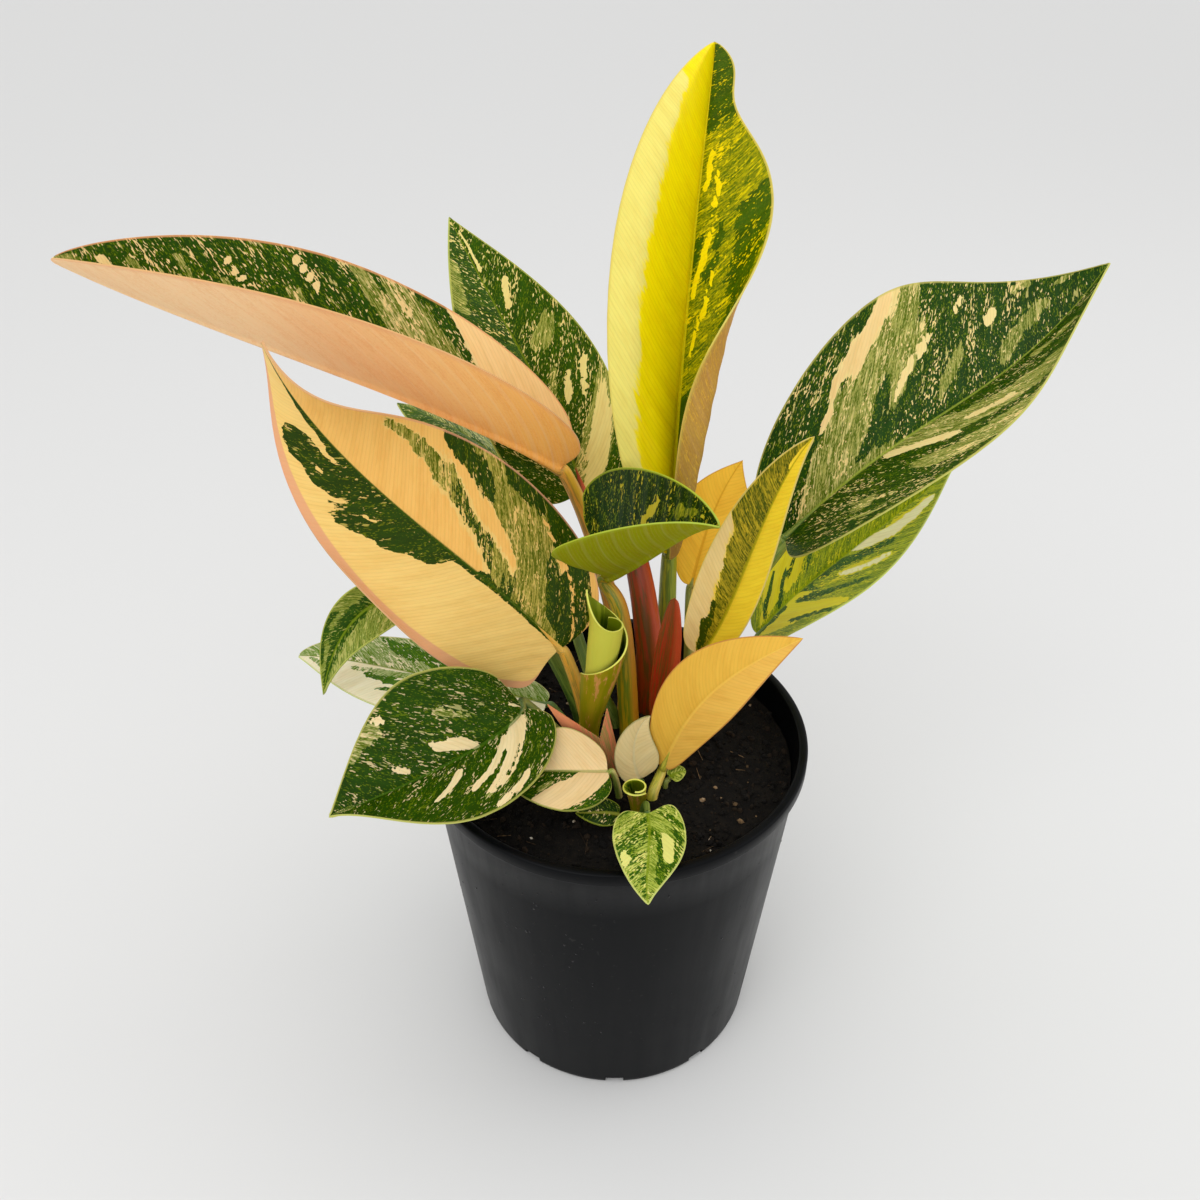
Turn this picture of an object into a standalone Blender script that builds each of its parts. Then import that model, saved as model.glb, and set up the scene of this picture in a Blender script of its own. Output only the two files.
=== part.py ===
"""Potted philodendron: a black nursery pot, its potting mix and a young, many-leaved plant.

Units are metres, +Z up. The origin is the centre of the pot's flat bottom, and the plant's
front faces -Y. Every leaf blade, leaf stalk, rolled young leaf and sheath is its own solid.
"""
import math
from dataclasses import dataclass

import bmesh
import bpy
import numpy as np
from mathutils import Vector, noise

MM = 0.001
GAP = 0.3 * MM
MERGE = 0.02 * MM

# The pot
POT_HEIGHT = 136 * MM
POT_RIM_RADIUS = 70 * MM
POT_BASE_RADIUS = 55.5 * MM
POT_WALL = 1.6 * MM
POT_FLOOR = 2.4 * MM
COLLAR_HEIGHT = 5 * MM
COLLAR_STEP = 1.8 * MM
FOOT_CHAMFER = 1.5 * MM
POT_SIDES = 48
DRAIN_SLOTS = 10
DRAIN_SLOT_WIDTH = 7 * MM
DRAIN_SLOT_HEIGHT = 3.5 * MM
DRAIN_SLOT_REACH = 9 * MM

# The potting mix
SOIL_TOP = 124 * MM
SOIL_BUMP = 1.4 * MM
SOIL_BUMP_SIZE = 14 * MM
STALK_DEPTH = 9 * MM
HOLE_SIDES = 12

# Leaf blades
BLADE_THICKNESS = 0.8 * MM
RIB_THICKNESS = 1.9 * MM
RIB_STATIONS = 40
LOBE_AT = 0.09
CREASE_FADE = 0.5
ROW_CROWDING = 1.35
CROSS_STEPS = 12

# Leaf stalks
STALK_GAP = 0.6 * MM
STALK_NECK = 4 * MM


@dataclass
class Leaf:
    """A blade: rib points in mm, angles in degrees, pairs as (left, right) of its upper face.

    fold is the rise of each half from the rib, curl its bend towards the margin, and a crease
    (angle, where across, from, to along the rib) turns the outer strip of one half further.
    A nick (where along, spread, share) bites into the right margin.
    """
    name: str
    rib: tuple
    face: tuple
    width: tuple
    fold: tuple = (10, 10)
    curl: tuple = (0, 0)
    twist: float = 0
    peak: float = 0.4
    tip_power: float = 0.9
    base_power: float = 0.7
    lobe: tuple = (0.05, 0.05)
    crease: tuple = ((0, 0.5, 0, 1), (0, 0.5, 0, 1))
    nick: tuple = (0.8, 0.05, 0)
    rows: int = 12
    colour: tuple = (0.10, 0.22, 0.04)


@dataclass
class Stalk:
    """A round stalk through points in mm, from its foot in the mix to its top, and its radii."""
    name: str
    route: tuple
    radius: tuple
    colour: tuple = (0.16, 0.24, 0.04)


@dataclass
class Roll:
    """A young leaf rolled round itself: its axis points in mm, radii, spiral and rim heights."""
    name: str
    axis: tuple
    radius: tuple
    first_angle: float
    turns: float
    tip_at: float
    rim: tuple
    shrink: float
    rows: int
    columns: int
    colour: tuple


FLAT = (0, 0.5, 0, 1)

LEAVES = [
    Leaf("leaf_tall", ((20, 40, 187), (22, 41, 270), (26, 52, 324), (29, 63, 356)), (-82, 8),
         (36.5, 27.5), (42, 42), (-2, 12), twist=22, peak=0.49, tip_power=0.8, base_power=0.63,
         lobe=(0, 0.05), crease=((-40, 0.62, 0, 1), (155, 0.42, 0, 0.62)), nick=(0.82, 0.115, 0.5),
         rows=16, colour=(0.62, 0.55, 0.03)),
    Leaf("leaf_left_long", ((-20, 35, 226), (-72, 29, 256), (-129, 33, 278), (-182, 47, 295)),
         (-76, 76), (36, 34), (62, 48), (18, 14), twist=-20, peak=0.46, tip_power=0.8,
         base_power=0.6, rows=14, colour=(0.10, 0.20, 0.03)),
    Leaf("leaf_left_cream", ((-20, 8, 167), (-50, 6, 204), (-82, 0, 244), (-102, -9, 290)),
         (-138, 55), (32, 35), (3, 10), (-5, -6), twist=-3, peak=0.36, tip_power=0.93,
         base_power=0.61, lobe=(0.085, 0.02), crease=((95, 0.83, 0.1, 0.85), FLAT), rows=14,
         colour=(0.72, 0.50, 0.18)),
    Leaf("leaf_back", ((-12, 50, 207), (-24, 59, 238), (-42, 69, 271), (-57, 78, 299)), (-72, 50),
         (29, 26), (14, 5), (2, -2), twist=4, peak=0.37, tip_power=1.05, colour=(0.10, 0.22, 0.04)),
    Leaf("leaf_back_left", ((-25, 48, 203), (-42, 53, 220), (-60, 57, 231), (-79, 63, 237)),
         (-100, 92), (20, 17), (4, -12), (-3, -11), twist=-11, peak=0.43, rows=9,
         colour=(0.06, 0.16, 0.03)),
    Leaf("leaf_centre", ((-3, 22, 189), (8, 9, 204), (20, -9, 225), (30, -23, 237.5)), (-101, 68),
         (33.5, 34.5), (45, 41), (27, 25), twist=4, peak=0.3, lobe=(0.09, -0.04),
         nick=(0.06, 0.16, 0.75), rows=12, colour=(0.07, 0.20, 0.03)),
    Leaf("leaf_right_big", ((63, 45, 191), (102, 48, 230), (135.5, 54, 254), (163, 58, 290)),
         (-93, 82), (47, 45), (42, 20), (14, 5), twist=-25, peak=0.475, tip_power=0.95,
         base_power=0.65, rows=14, colour=(0.08, 0.19, 0.03)),
    Leaf("leaf_right_low", ((56, 42, 148), (71, 46, 166), (95, 53, 185), (127, 66, 208)),
         (-89, 86), (24, 31), (0, 20), (-5, 5), twist=10, peak=0.5, tip_power=1.04,
         base_power=0.68, rows=10, colour=(0.20, 0.33, 0.03)),
    Leaf("leaf_right_narrow", ((30, 10, 163), (40, 7, 190), (49, 7, 223), (61, 5, 253)),
         (-106, 31), (14, 9.5), (12, 21), (1, 5), twist=-9, tip_power=0.85, rows=10,
         colour=(0.55, 0.45, 0.12)),
    Leaf("leaf_right_orange", ((29, 43, 171), (33, 49, 186), (39, 57, 200), (48, 66, 212)),
         (-97, 31), (13, 16), (3, 5), (-1, 0), peak=0.5, tip_power=1.1, rows=8,
         colour=(0.80, 0.45, 0.05)),
    Leaf("leaf_left_hooked", ((-66, 16, 187), (-85, 14, 183), (-98, 9, 171), (-106, 3, 150)),
         (-116, 27), (12, 9), (16, 27), (3, 9), twist=7, peak=0.44, tip_power=1.05, rows=9,
         colour=(0.14, 0.25, 0.08)),
    Leaf("leaf_left_low", ((-26, 14, 137), (-59, 21, 141), (-93, 25, 147), (-118, 21, 154)),
         (-94, 79), (22, 17), (9, -1), (0, -5), twist=-4, peak=0.47, tip_power=0.75, rows=10,
         colour=(0.35, 0.42, 0.20)),
    Leaf("leaf_left_front", ((-33, -8, 153), (-48, -24, 149), (-74, -41, 146), (-92, -57, 150)),
         (-93, 61), (30, 35), (22, 42), (5, 16), twist=30, peak=0.47, tip_power=1.3,
         base_power=0.76, rows=12, colour=(0.08, 0.18, 0.03)),
    Leaf("leaf_front_cream", ((-3, -25, 139), (-15, -28, 142), (-27, -29, 143), (-41, -26, 138)),
         (-91, 68), (17, 16), (13, 6), (2, -1), peak=0.42, tip_power=0.87, rows=8,
         colour=(0.75, 0.60, 0.36)),
    Leaf("leaf_front_orange", ((17, -16, 133), (26, -16, 157), (40, -16, 175), (62, -12, 187)),
         (-103, 35), (15, 11), (2, 11), (-4, 1), twist=6, peak=0.47, base_power=0.78, rows=10,
         colour=(0.83, 0.50, 0.10)),
    Leaf("leaf_front_pale", ((8.5, -18, 128.5), (6.5, -16, 135), (7, -13, 144), (12, -11, 152)),
         (-90, 30), (7, 9), peak=0.41, tip_power=1.0, rows=8, colour=(0.66, 0.62, 0.38)),
    Leaf("leaf_front_heart", ((10, -48, 142), (10, -61, 142), (9, -73, 141), (9, -84, 140)),
         (-92, 44), (12, 12), (10, 10), (4, 4), peak=0.33, tip_power=0.95, base_power=0.73,
         lobe=(0.09, 0.09), rows=9, colour=(0.18, 0.33, 0.06)),
    Leaf("leaf_front_small", ((1, -35, 128), (-4, -37, 131), (-9, -39, 133), (-14, -40, 134)),
         (-80, 60), (5, 5), rows=6, colour=(0.10, 0.18, 0.03)),
    Leaf("leaf_bud", ((19.5, -17, 128.5), (21, -17, 130), (23, -17, 131), (25, -17, 131.5)),
         (-90, 55), (3, 3), (5, 5), tip_power=0.6, rows=5, colour=(0.40, 0.45, 0.15)),
]

STALKS = [
    Stalk("stalk_tall", ((20.5, 40), (20, 40.5, 156)), (3.9, 2.2), (0.40, 0.42, 0.03)),
    Stalk("stalk_left_long", ((4, 22.5), (4, 25, 145), (-4.5, 35, 182), (-11.5, 38.5, 205)), (3.2, 2.2),
          (0.55, 0.30, 0.04)),
    Stalk("stalk_left_cream", ((-10, 12.5), (-13.5, 11.5, 145)), (2.6, 1.8), (0.65, 0.38, 0.05)),
    Stalk("stalk_back", ((13, 27), (13, 29, 151), (9, 35, 180), (3, 46, 195)), (5.1, 2.4),
          (0.30, 0.06, 0.02)),
    Stalk("stalk_back_left", ((0.5, 16.5), (-3, 15, 136), (-9, 17, 147), (-20, 34, 180)), (2.4, 1.6),
          (0.16, 0.28, 0.04)),
    Stalk("stalk_centre", ((5.5, 11.5), (3.5, 15.5, 157), (1, 19, 178)), (3.8, 1.8), (0.30, 0.27, 0.03)),
    Stalk("stalk_right_big", ((33, 39), (39, 41, 150)), (3.8, 2.3), (0.35, 0.40, 0.06)),
    Stalk("stalk_right_low", ((38, 30), (42, 34, 133)), (2.6, 1.7), (0.20, 0.30, 0.03)),
    Stalk("stalk_right_narrow", ((24, 15), (26, 14, 145)), (2.4, 1.6), (0.35, 0.35, 0.06)),
    Stalk("stalk_right_orange", ((29, 29), (28.5, 36, 152)), (2.0, 1.3), (0.30, 0.33, 0.05)),
    Stalk("stalk_left_hooked", ((-13, 20), (-18, 19.5, 143), (-29, 20, 167), (-46, 19, 185)), (3.1, 1.4),
          (0.16, 0.30, 0.04)),
    Stalk("stalk_left_low", ((-16.5, 11),), (1.6, 1.1), (0.10, 0.24, 0.03)),
    Stalk("stalk_left_front", ((-12, -7), (-18, -8, 138)), (2.2, 1.4), (0.12, 0.20, 0.03)),
    Stalk("stalk_front_cream", ((1, -22),), (1.3, 0.9), (0.30, 0.36, 0.06)),
    Stalk("stalk_front_orange", ((13, -22.5),), (2.0, 1.5), (0.55, 0.48, 0.06)),
    Stalk("stalk_front_pale", ((9, -18.5),), (1.2, 0.8), (0.12, 0.18, 0.03)),
    Stalk("stalk_front_heart", ((9.3, -31.8), (10, -36, 134)), (1.3, 0.8), (0.16, 0.26, 0.04)),
    Stalk("stalk_front_small", ((4, -33),), (1.1, 0.7), (0.16, 0.24, 0.04)),
    Stalk("stalk_bud", ((17.8, -17),), (1.1, 0.7), (0.20, 0.28, 0.05)),
]

ROLLS = [
    Roll("rolled_leaf_tall", ((-10, 3, 115), (-9, 3, 139), (-5, 0, 166), (-2, -1, 200)), (3.6, 8.3),
         190, 1.72, 0.57, (0.64, 1.0, 0.86), 0.52, 7, 26, (0.28, 0.34, 0.05)),
    Roll("rolled_leaf_small", ((7.5, -26.5, 115), (7.5, -26.5, 123), (7.3, -28, 131), (6.5, -32, 139.5)),
         (2.8, 4.4), 320, -1.17, 0.2, (0.86, 1.0, 0.9), 0.35, 5, 18, (0.24, 0.32, 0.05)),
]

SHEATH_RED = Leaf("sheath_red", ((16, 15.5, 125), (18, 14, 147), (19.5, 13.5, 166), (20.5, 14, 185)),
                  (-100, 10), (5.2, 5.2), (20, 20), (15, 15), peak=0.45, tip_power=0.45,
                  base_power=0.45, lobe=(0, 0), rows=8, colour=(0.55, 0.06, 0.02))
SHEATH_PINK_FOOT = (-1, -12, 124.8)
SHEATH_PINK_HALF_WIDTH = 4
SHEATH_PINK_LEFT_TIP = (-24, -12, 158)
SHEATH_PINK_FORK = (-5.5, -12, 142.5)
SHEATH_PINK_RIGHT_TIP = (-3, -7, 152)
SHEATH_PINK_COLOUR = (0.60, 0.16, 0.07)


def clear_scene():
    for old in list(bpy.data.objects):
        bpy.data.objects.remove(old)


def collection(name):
    group = bpy.data.collections.new(name)
    bpy.context.scene.collection.children.link(group)
    return group


def material(name, colour, roughness):
    finish = bpy.data.materials.new(name)
    finish.use_nodes = True
    shader = finish.node_tree.nodes["Principled BSDF"]
    shader.inputs["Base Color"].default_value = (*colour, 1)
    shader.inputs["Roughness"].default_value = roughness
    shader.inputs["Metallic"].default_value = 0
    return finish


def add_object(name, data, group, colour, roughness=0.45):
    thing = bpy.data.objects.new(name, data)
    group.objects.link(thing)
    data.materials.append(material(name, colour, roughness))
    return thing


def mesh_from(name, shape):
    mesh = bpy.data.meshes.new(name)
    shape.to_mesh(mesh)
    shape.free()
    mesh.shade_smooth()
    return mesh


def applied(thing):
    """Replace an object's mesh by its evaluated one, with its modifiers taken off."""
    bpy.context.view_layer.update()
    view = bpy.context.evaluated_depsgraph_get()
    mesh = bpy.data.meshes.new_from_object(thing.evaluated_get(view))
    thing.modifiers.clear()
    thing.data = mesh
    return thing


def ease(x):
    x = np.clip(x, 0, 1)
    return x * x * (3 - 2 * x)


def unit(vectors):
    return vectors / np.linalg.norm(vectors, axis=-1, keepdims=True)


def curve_through(points, u):
    """The cubic that passes through four points at u = 0, 1/3, 2/3 and 1."""
    a, b, c, d = (np.array(point, float) for point in points)
    u = np.asarray(u, float)[..., None]
    near = 1 - 3 * u
    far = 2 - 3 * u
    return near * far * (1 - u) / 2 * a + 4.5 * u * (1 - u) * (far * b - near * c) + u * near * far / 2 * d


def rib_frames(leaf):
    """Stations along the rib: place, direction, side (left of the upper face) and face normal."""
    u = np.linspace(0, 1, RIB_STATIONS + 1)
    rib = curve_through(leaf.rib, u)
    along = unit(np.gradient(rib, axis=0))
    heading, rise = np.radians(leaf.face)
    face = np.array([np.cos(rise) * np.cos(heading), np.cos(rise) * np.sin(heading), np.sin(rise)])
    normal = unit(face - along * (along @ face)[:, None])
    side = np.cross(normal, along)
    turn = np.radians(leaf.twist) * (u - 0.35)[:, None]
    turned_side = side * np.cos(turn) + normal * np.sin(turn)
    turned_normal = normal * np.cos(turn) - side * np.sin(turn)
    return rib, along, turned_side, turned_normal


def half_widths(leaf, u, left):
    swell = np.sin(np.pi * np.clip(u, 0, 1) ** (math.log(0.5) / math.log(leaf.peak)))
    power = np.where(u < leaf.peak, leaf.base_power, leaf.tip_power)
    half = np.where(left, *leaf.width) * np.maximum(swell, 1e-9) ** power
    at, spread, share = leaf.nick
    bite = share * np.exp(-((u - at) / spread) ** 2)
    return half * np.where(left, 1, 1 - bite)


def crease_turn(leaf, u, s, left):
    turn = 0
    for is_side, (angle, start, first, last) in zip((left, ~left), leaf.crease):
        window = ease((u - first) / CREASE_FADE + (first <= 0)) * ease((last - u) / CREASE_FADE + (last >= 1))
        turn = turn + is_side * angle * window * ease((s - start) / (1 - start) * 1.6)
    return turn


def blade_points(leaf, u, v):
    """Points of a blade's upper face in mm, u from base to tip and v from -1 (right) to 1."""
    rib, along, side, normal = rib_frames(leaf)
    length = np.linalg.norm(np.diff(rib, axis=0), axis=1).sum()
    out = np.abs(v)
    left = v >= 0
    half = half_widths(leaf, u, left)
    margin_at = u - np.where(left, *leaf.lobe) * (u / LOBE_AT) * np.exp(1 - u / LOBE_AT)
    rib_at = u ** 1.2
    at = rib_at + (margin_at - rib_at) * out ** 1.6
    across = np.zeros_like(out)
    lift = np.zeros_like(out)
    for step in range(CROSS_STEPS):
        s = (step + 0.5) / CROSS_STEPS * out
        angle = np.where(left, *leaf.fold) + np.where(left, *leaf.curl) * s + crease_turn(leaf, u, s, left)
        across += np.cos(np.radians(angle)) * out / CROSS_STEPS
        lift += np.sin(np.radians(angle)) * out / CROSS_STEPS
    place = np.clip(at, 0, 1) * RIB_STATIONS
    station = np.minimum(place.astype(int), RIB_STATIONS - 1)
    part = (place - station)[..., None]
    centre = rib[station] * (1 - part) + rib[station + 1] * part
    centre = centre + along[0] * (np.minimum(at, 0) * length)[..., None]
    here_side = side[station] * (1 - part) + side[station + 1] * part
    here_normal = normal[station] * (1 - part) + normal[station + 1] * part
    out_by = (across * half * np.sign(v))[..., None]
    return centre + here_side * out_by + here_normal * (lift * half)[..., None]


def shaped_grid(rows, columns, place):
    """A grid whose (u, v) are moved to place(u, v) in mm; coinciding corners are merged."""
    shape = bmesh.new()
    bmesh.ops.create_grid(shape, x_segments=rows, y_segments=columns, size=1)
    shape.verts.ensure_lookup_table()
    flat = np.array([vert.co[:] for vert in shape.verts])
    u = np.round((flat[:, 0] + 1) / 2, 6)
    v = np.round(flat[:, 1], 6)
    weight = shape.verts.layers.deform.verify()
    for vert, point, across, along in zip(shape.verts, place(u, v), v, u):
        vert.co = Vector(point) * MM
        if abs(across) < 0.5 / columns:
            vert[weight][0] = 1 - 0.8 * along
    bmesh.ops.remove_doubles(shape, verts=shape.verts, dist=MERGE)
    return shape


def sheet_object(name, shape, group, colour, thickness=BLADE_THICKNESS, rib_thickness=None):
    """A thin sheet as a solid: split into triangles first, so both faces are split alike."""
    thing = add_object(name, mesh_from(name, shape), group, colour)
    thing.vertex_groups.new(name="rib")
    split = thing.modifiers.new("Split", "TRIANGULATE")
    split.quad_method = "FIXED"
    wall = thing.modifiers.new("Wall", "SOLIDIFY")
    wall.thickness = rib_thickness or thickness
    wall.offset = -1
    if rib_thickness:
        wall.vertex_group = "rib"
        wall.thickness_vertex_group = thickness / rib_thickness
    return thing


def leaf_blade(leaf, group):
    columns = 6 if leaf.rows > 8 else 4

    def place(u, v):
        return blade_points(leaf, u ** ROW_CROWDING, np.sign(v) * np.abs(v) ** 1.15)

    shape = shaped_grid(leaf.rows, columns, place)
    return sheet_object(leaf.name, shape, group, leaf.colour, rib_thickness=RIB_THICKNESS)


def stalk_route(stalk, *ends):
    """The stalk's points in mm: straight up out of its hole, then a smooth run to its end."""
    x, y = stalk.route[0]
    soil = SOIL_TOP / MM
    points = [(x, y, soil - STALK_DEPTH / MM), (x, y, soil + 1), *stalk.route[1:], *ends]
    points = np.array(points, float)
    padded = np.vstack([2 * points[0] - points[1], points, 2 * points[-1] - points[-2]])
    route = [points[0]]
    for k in range(1, len(points)):
        before, start, end, after = padded[k - 1:k + 3]
        for t in (0.5, 1.0) if 1 < k < len(points) - 1 else (1.0,):
            bend = (2 * start + (end - before) * t + (2 * before - 5 * start + 4 * end - after) * t * t
                    + (3 * start - before - 3 * end + after) * t ** 3) / 2
            route.append(bend)
    return np.array(route)


def tube(name, route, radii, group, colour):
    curve = bpy.data.curves.new(name, "CURVE")
    curve.dimensions = "3D"
    curve.bevel_depth = MM
    curve.bevel_resolution = 2
    curve.use_fill_caps = True
    line = curve.splines.new("POLY")
    line.points.add(len(route) - 1)
    for point, place, radius in zip(line.points, route, radii):
        point.co = (*(Vector(place) * MM), 1)
        point.radius = radius
    return add_object(name, curve, group, colour)


def leaf_stalk(stalk, leaf, group):
    rib, along, _, normal = rib_frames(leaf)
    under = normal[0] * (RIB_THICKNESS / MM / 2)
    top = rib[0] - along[0] * (STALK_GAP / MM) - under
    neck = rib[0] - along[0] * (STALK_NECK / MM) * min(1, stalk.radius[1] / 1.5) - 1.5 * under
    route = stalk_route(stalk, neck, top)
    radii = np.interp(np.linspace(0, 1, len(route)), (0, 0.4, 1), (stalk.radius[0], *stalk.radius))
    return tube(stalk.name, route, radii, group, stalk.colour)


def rolled_leaf(roll, group):
    """A sheet wound round its axis, its free rim highest at the leaf's tip."""
    outer_rim, tip_rim, inner_rim = roll.rim
    foot, mouth = roll.radius

    def place(u, v):
        s = (v + 1) / 2
        angle = np.radians(roll.first_angle) + 2 * np.pi * roll.turns * s
        before = np.clip((roll.tip_at - s) / roll.tip_at, 0, 1)
        after = np.clip((s - roll.tip_at) / (1 - roll.tip_at), 0, 1)
        rim = tip_rim - (tip_rim - outer_rim) * before ** 0.8
        rim = rim - (tip_rim - inner_rim) * (1 - np.exp(-after * 7))
        t = u * rim
        flare = foot + (mouth - foot) * ease((t - 0.25) / 0.6)
        radius = flare * (1 - roll.shrink * s) * (1 + 0.35 * ease((t - 0.86) / 0.14))
        axis = curve_through(roll.axis, t)
        ring = np.stack([np.cos(angle), np.sin(angle), np.zeros_like(angle)], axis=-1)
        return axis + ring * radius[:, None]

    shape = shaped_grid(roll.rows, roll.columns, place)
    thing = sheet_object(roll.name, shape, group, roll.colour, thickness=0.6 * MM)
    return thing


def pink_sheath(group):
    """One sheath that splits into two prongs above its foot."""
    foot, left_tip, fork, right_tip = (np.array(point, float) for point in (
        SHEATH_PINK_FOOT, SHEATH_PINK_LEFT_TIP, SHEATH_PINK_FORK, SHEATH_PINK_RIGHT_TIP))

    def place(u, v):
        left = np.maximum(v, 0)[:, None]
        right = np.maximum(-v, 0)[:, None]
        top = fork + (left_tip - fork) * left + (right_tip - fork) * right
        start = foot + np.outer(v, (-SHEATH_PINK_HALF_WIDTH, 0, 0))
        bow = np.outer(1.5 * (1 - v * v) * (1 - 0.7 * u), (0, -1, 0))
        sag = np.outer(4 * u * (1 - u) * np.maximum(v, 0), (0, 0, -2))
        return start * (1 - u[:, None]) + top * u[:, None] + bow + sag

    return sheet_object("sheath_pink", shaped_grid(5, 6, place), group, SHEATH_PINK_COLOUR)


def turned(name, profile, group, colour, roughness):
    """A solid turned about Z from (radius, height) points that run down its outer side."""
    shape = bmesh.new()
    corners = [shape.verts.new((radius, 0, height)) for radius, height in profile]
    for first, second in zip(corners, corners[1:]):
        shape.edges.new((first, second))
    mesh = bpy.data.meshes.new(name)
    shape.to_mesh(mesh)
    shape.free()
    thing = add_object(name, mesh, group, colour, roughness)
    screw = thing.modifiers.new("Turn", "SCREW")
    screw.steps = POT_SIDES
    screw.render_steps = POT_SIDES
    screw.use_merge_vertices = True
    screw.merge_threshold = MERGE
    screw.use_normal_calculate = False
    return thing


def pot_radius(height):
    """Outer radius of the pot's body, below its collar."""
    top = POT_RIM_RADIUS - COLLAR_STEP
    return POT_BASE_RADIUS + (top - POT_BASE_RADIUS) * height / POT_HEIGHT


def pot(group, cutters):
    inner_top = pot_radius(POT_HEIGHT) - POT_WALL
    profile = [
        (0, POT_FLOOR),
        (pot_radius(POT_FLOOR) - POT_WALL, POT_FLOOR),
        (inner_top, POT_HEIGHT - 0.6 * MM),
        (inner_top + 0.6 * MM, POT_HEIGHT),
        (POT_RIM_RADIUS - 0.8 * MM, POT_HEIGHT),
        (POT_RIM_RADIUS, POT_HEIGHT - 0.8 * MM),
        (POT_RIM_RADIUS, POT_HEIGHT - COLLAR_HEIGHT),
        (pot_radius(POT_HEIGHT - COLLAR_HEIGHT), POT_HEIGHT - COLLAR_HEIGHT - 0.6 * MM),
        (pot_radius(FOOT_CHAMFER), FOOT_CHAMFER),
        (POT_BASE_RADIUS - FOOT_CHAMFER, 0),
        (0, 0),
    ]
    body = applied(turned("pot", profile, group, (0.012, 0.012, 0.014), 0.35))
    for k in range(DRAIN_SLOTS):
        angle = 2 * math.pi * (k + 0.5) / DRAIN_SLOTS
        shape = bmesh.new()
        bmesh.ops.create_cube(shape, size=1)
        size = (DRAIN_SLOT_REACH, DRAIN_SLOT_WIDTH, 2 * DRAIN_SLOT_HEIGHT)
        bmesh.ops.scale(shape, verts=shape.verts, vec=size)
        slot = bpy.data.objects.new("slot_cutter", mesh_from("slot_cutter", shape))
        slot.location = (POT_BASE_RADIUS * math.cos(angle), POT_BASE_RADIUS * math.sin(angle), 0)
        slot.rotation_euler = (0, 0, angle)
        cutters.objects.link(slot)
        cut(body, slot)
    body.data.shade_smooth()
    body.data.set_sharp_from_angle(angle=math.radians(30))
    return body


def cut(body, cutter):
    """Take the cutter out of the body, now, and drop it."""
    boolean = body.modifiers.new("Cut", "BOOLEAN")
    boolean.object = cutter
    boolean.operation = "DIFFERENCE"
    boolean.solver = "EXACT"
    applied(body)
    bpy.data.objects.remove(cutter)


def soil(group, cutters):
    wall = POT_WALL + 1.4 * GAP
    bottom = POT_FLOOR + GAP
    edge = pot_radius(SOIL_TOP) - wall
    profile = [(0, SOIL_TOP)]
    profile += [(edge * share, SOIL_TOP) for share in (0.3, 0.6, 0.9)]
    profile += [(edge, SOIL_TOP - 1.5 * MM), (pot_radius(bottom) - wall, bottom), (0, bottom)]
    mix = turned("soil", profile, group, (0.016, 0.011, 0.008), 0.95)
    mix.modifiers["Turn"].steps = POT_SIDES // 2
    mix.modifiers["Turn"].render_steps = POT_SIDES // 2
    applied(mix)
    for vert in mix.data.vertices:
        if vert.co.z > SOIL_TOP - 0.1 * MM:
            bump = noise.noise(vert.co / SOIL_BUMP_SIZE)
            vert.co.z += SOIL_BUMP * bump
    split = mix.modifiers.new("Split", "TRIANGULATE")
    split.quad_method = "FIXED"
    applied(mix)
    for x, y, radius in stalk_feet():
        shape = bmesh.new()
        bmesh.ops.create_cone(shape, cap_ends=True, segments=HOLE_SIDES, radius1=radius, radius2=radius,
                              depth=2 * (STALK_DEPTH + GAP))
        hole = bpy.data.objects.new("hole_cutter", mesh_from("hole_cutter", shape))
        hole.location = (x, y, SOIL_TOP)
        cutters.objects.link(hole)
        cut(mix, hole)
    mix.data.shade_flat()
    return mix


def stalk_feet():
    """Places and radii of the plain holes that the stalks and rolled leaves stand in."""
    clearance = GAP / math.cos(math.pi / HOLE_SIDES) + GAP
    for stalk in STALKS:
        x, y = stalk.route[0]
        yield x * MM, y * MM, stalk.radius[0] * MM + clearance
    for roll in ROLLS:
        x, y, _ = roll.axis[0]
        yield x * MM, y * MM, (roll.radius[0] + 0.8) * MM + clearance


def main():
    clear_scene()
    plant = collection("potted_philodendron")
    cutters = collection("cutters")
    pot(plant, cutters)
    soil(plant, cutters)
    by_name = {leaf.name.split("_", 1)[1]: leaf for leaf in LEAVES}
    for leaf in LEAVES:
        leaf_blade(leaf, plant)
    for stalk in STALKS:
        leaf_stalk(stalk, by_name[stalk.name.split("_", 1)[1]], plant)
    for roll in ROLLS:
        rolled_leaf(roll, plant)
    leaf_blade(SHEATH_RED, plant)
    pink_sheath(plant)


main()
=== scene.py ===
"""Looks of the potted philodendron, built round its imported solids. Metres, +Z up, front at -Y."""

import math
from dataclasses import dataclass

import bmesh
import bpy
import numpy as np
from mathutils import Matrix, Vector, noise


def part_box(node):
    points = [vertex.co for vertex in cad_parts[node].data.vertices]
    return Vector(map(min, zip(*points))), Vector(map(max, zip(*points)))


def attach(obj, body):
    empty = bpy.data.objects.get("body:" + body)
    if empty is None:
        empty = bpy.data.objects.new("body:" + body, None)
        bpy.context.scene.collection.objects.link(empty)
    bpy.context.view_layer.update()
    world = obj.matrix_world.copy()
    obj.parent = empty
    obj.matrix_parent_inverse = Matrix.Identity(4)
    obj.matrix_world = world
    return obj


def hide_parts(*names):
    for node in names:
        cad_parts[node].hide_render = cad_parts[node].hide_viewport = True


bl_info = {
    "name": "Potted philodendron",
    "version": (1, 0, 0),
    "blender": (4, 5, 0),
    "location": "View3D > Sidebar > Philodendron",
    "description": "Leaves, stalks, pot and potting mix of one young variegated philodendron",
    "category": "Object",
}

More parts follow.
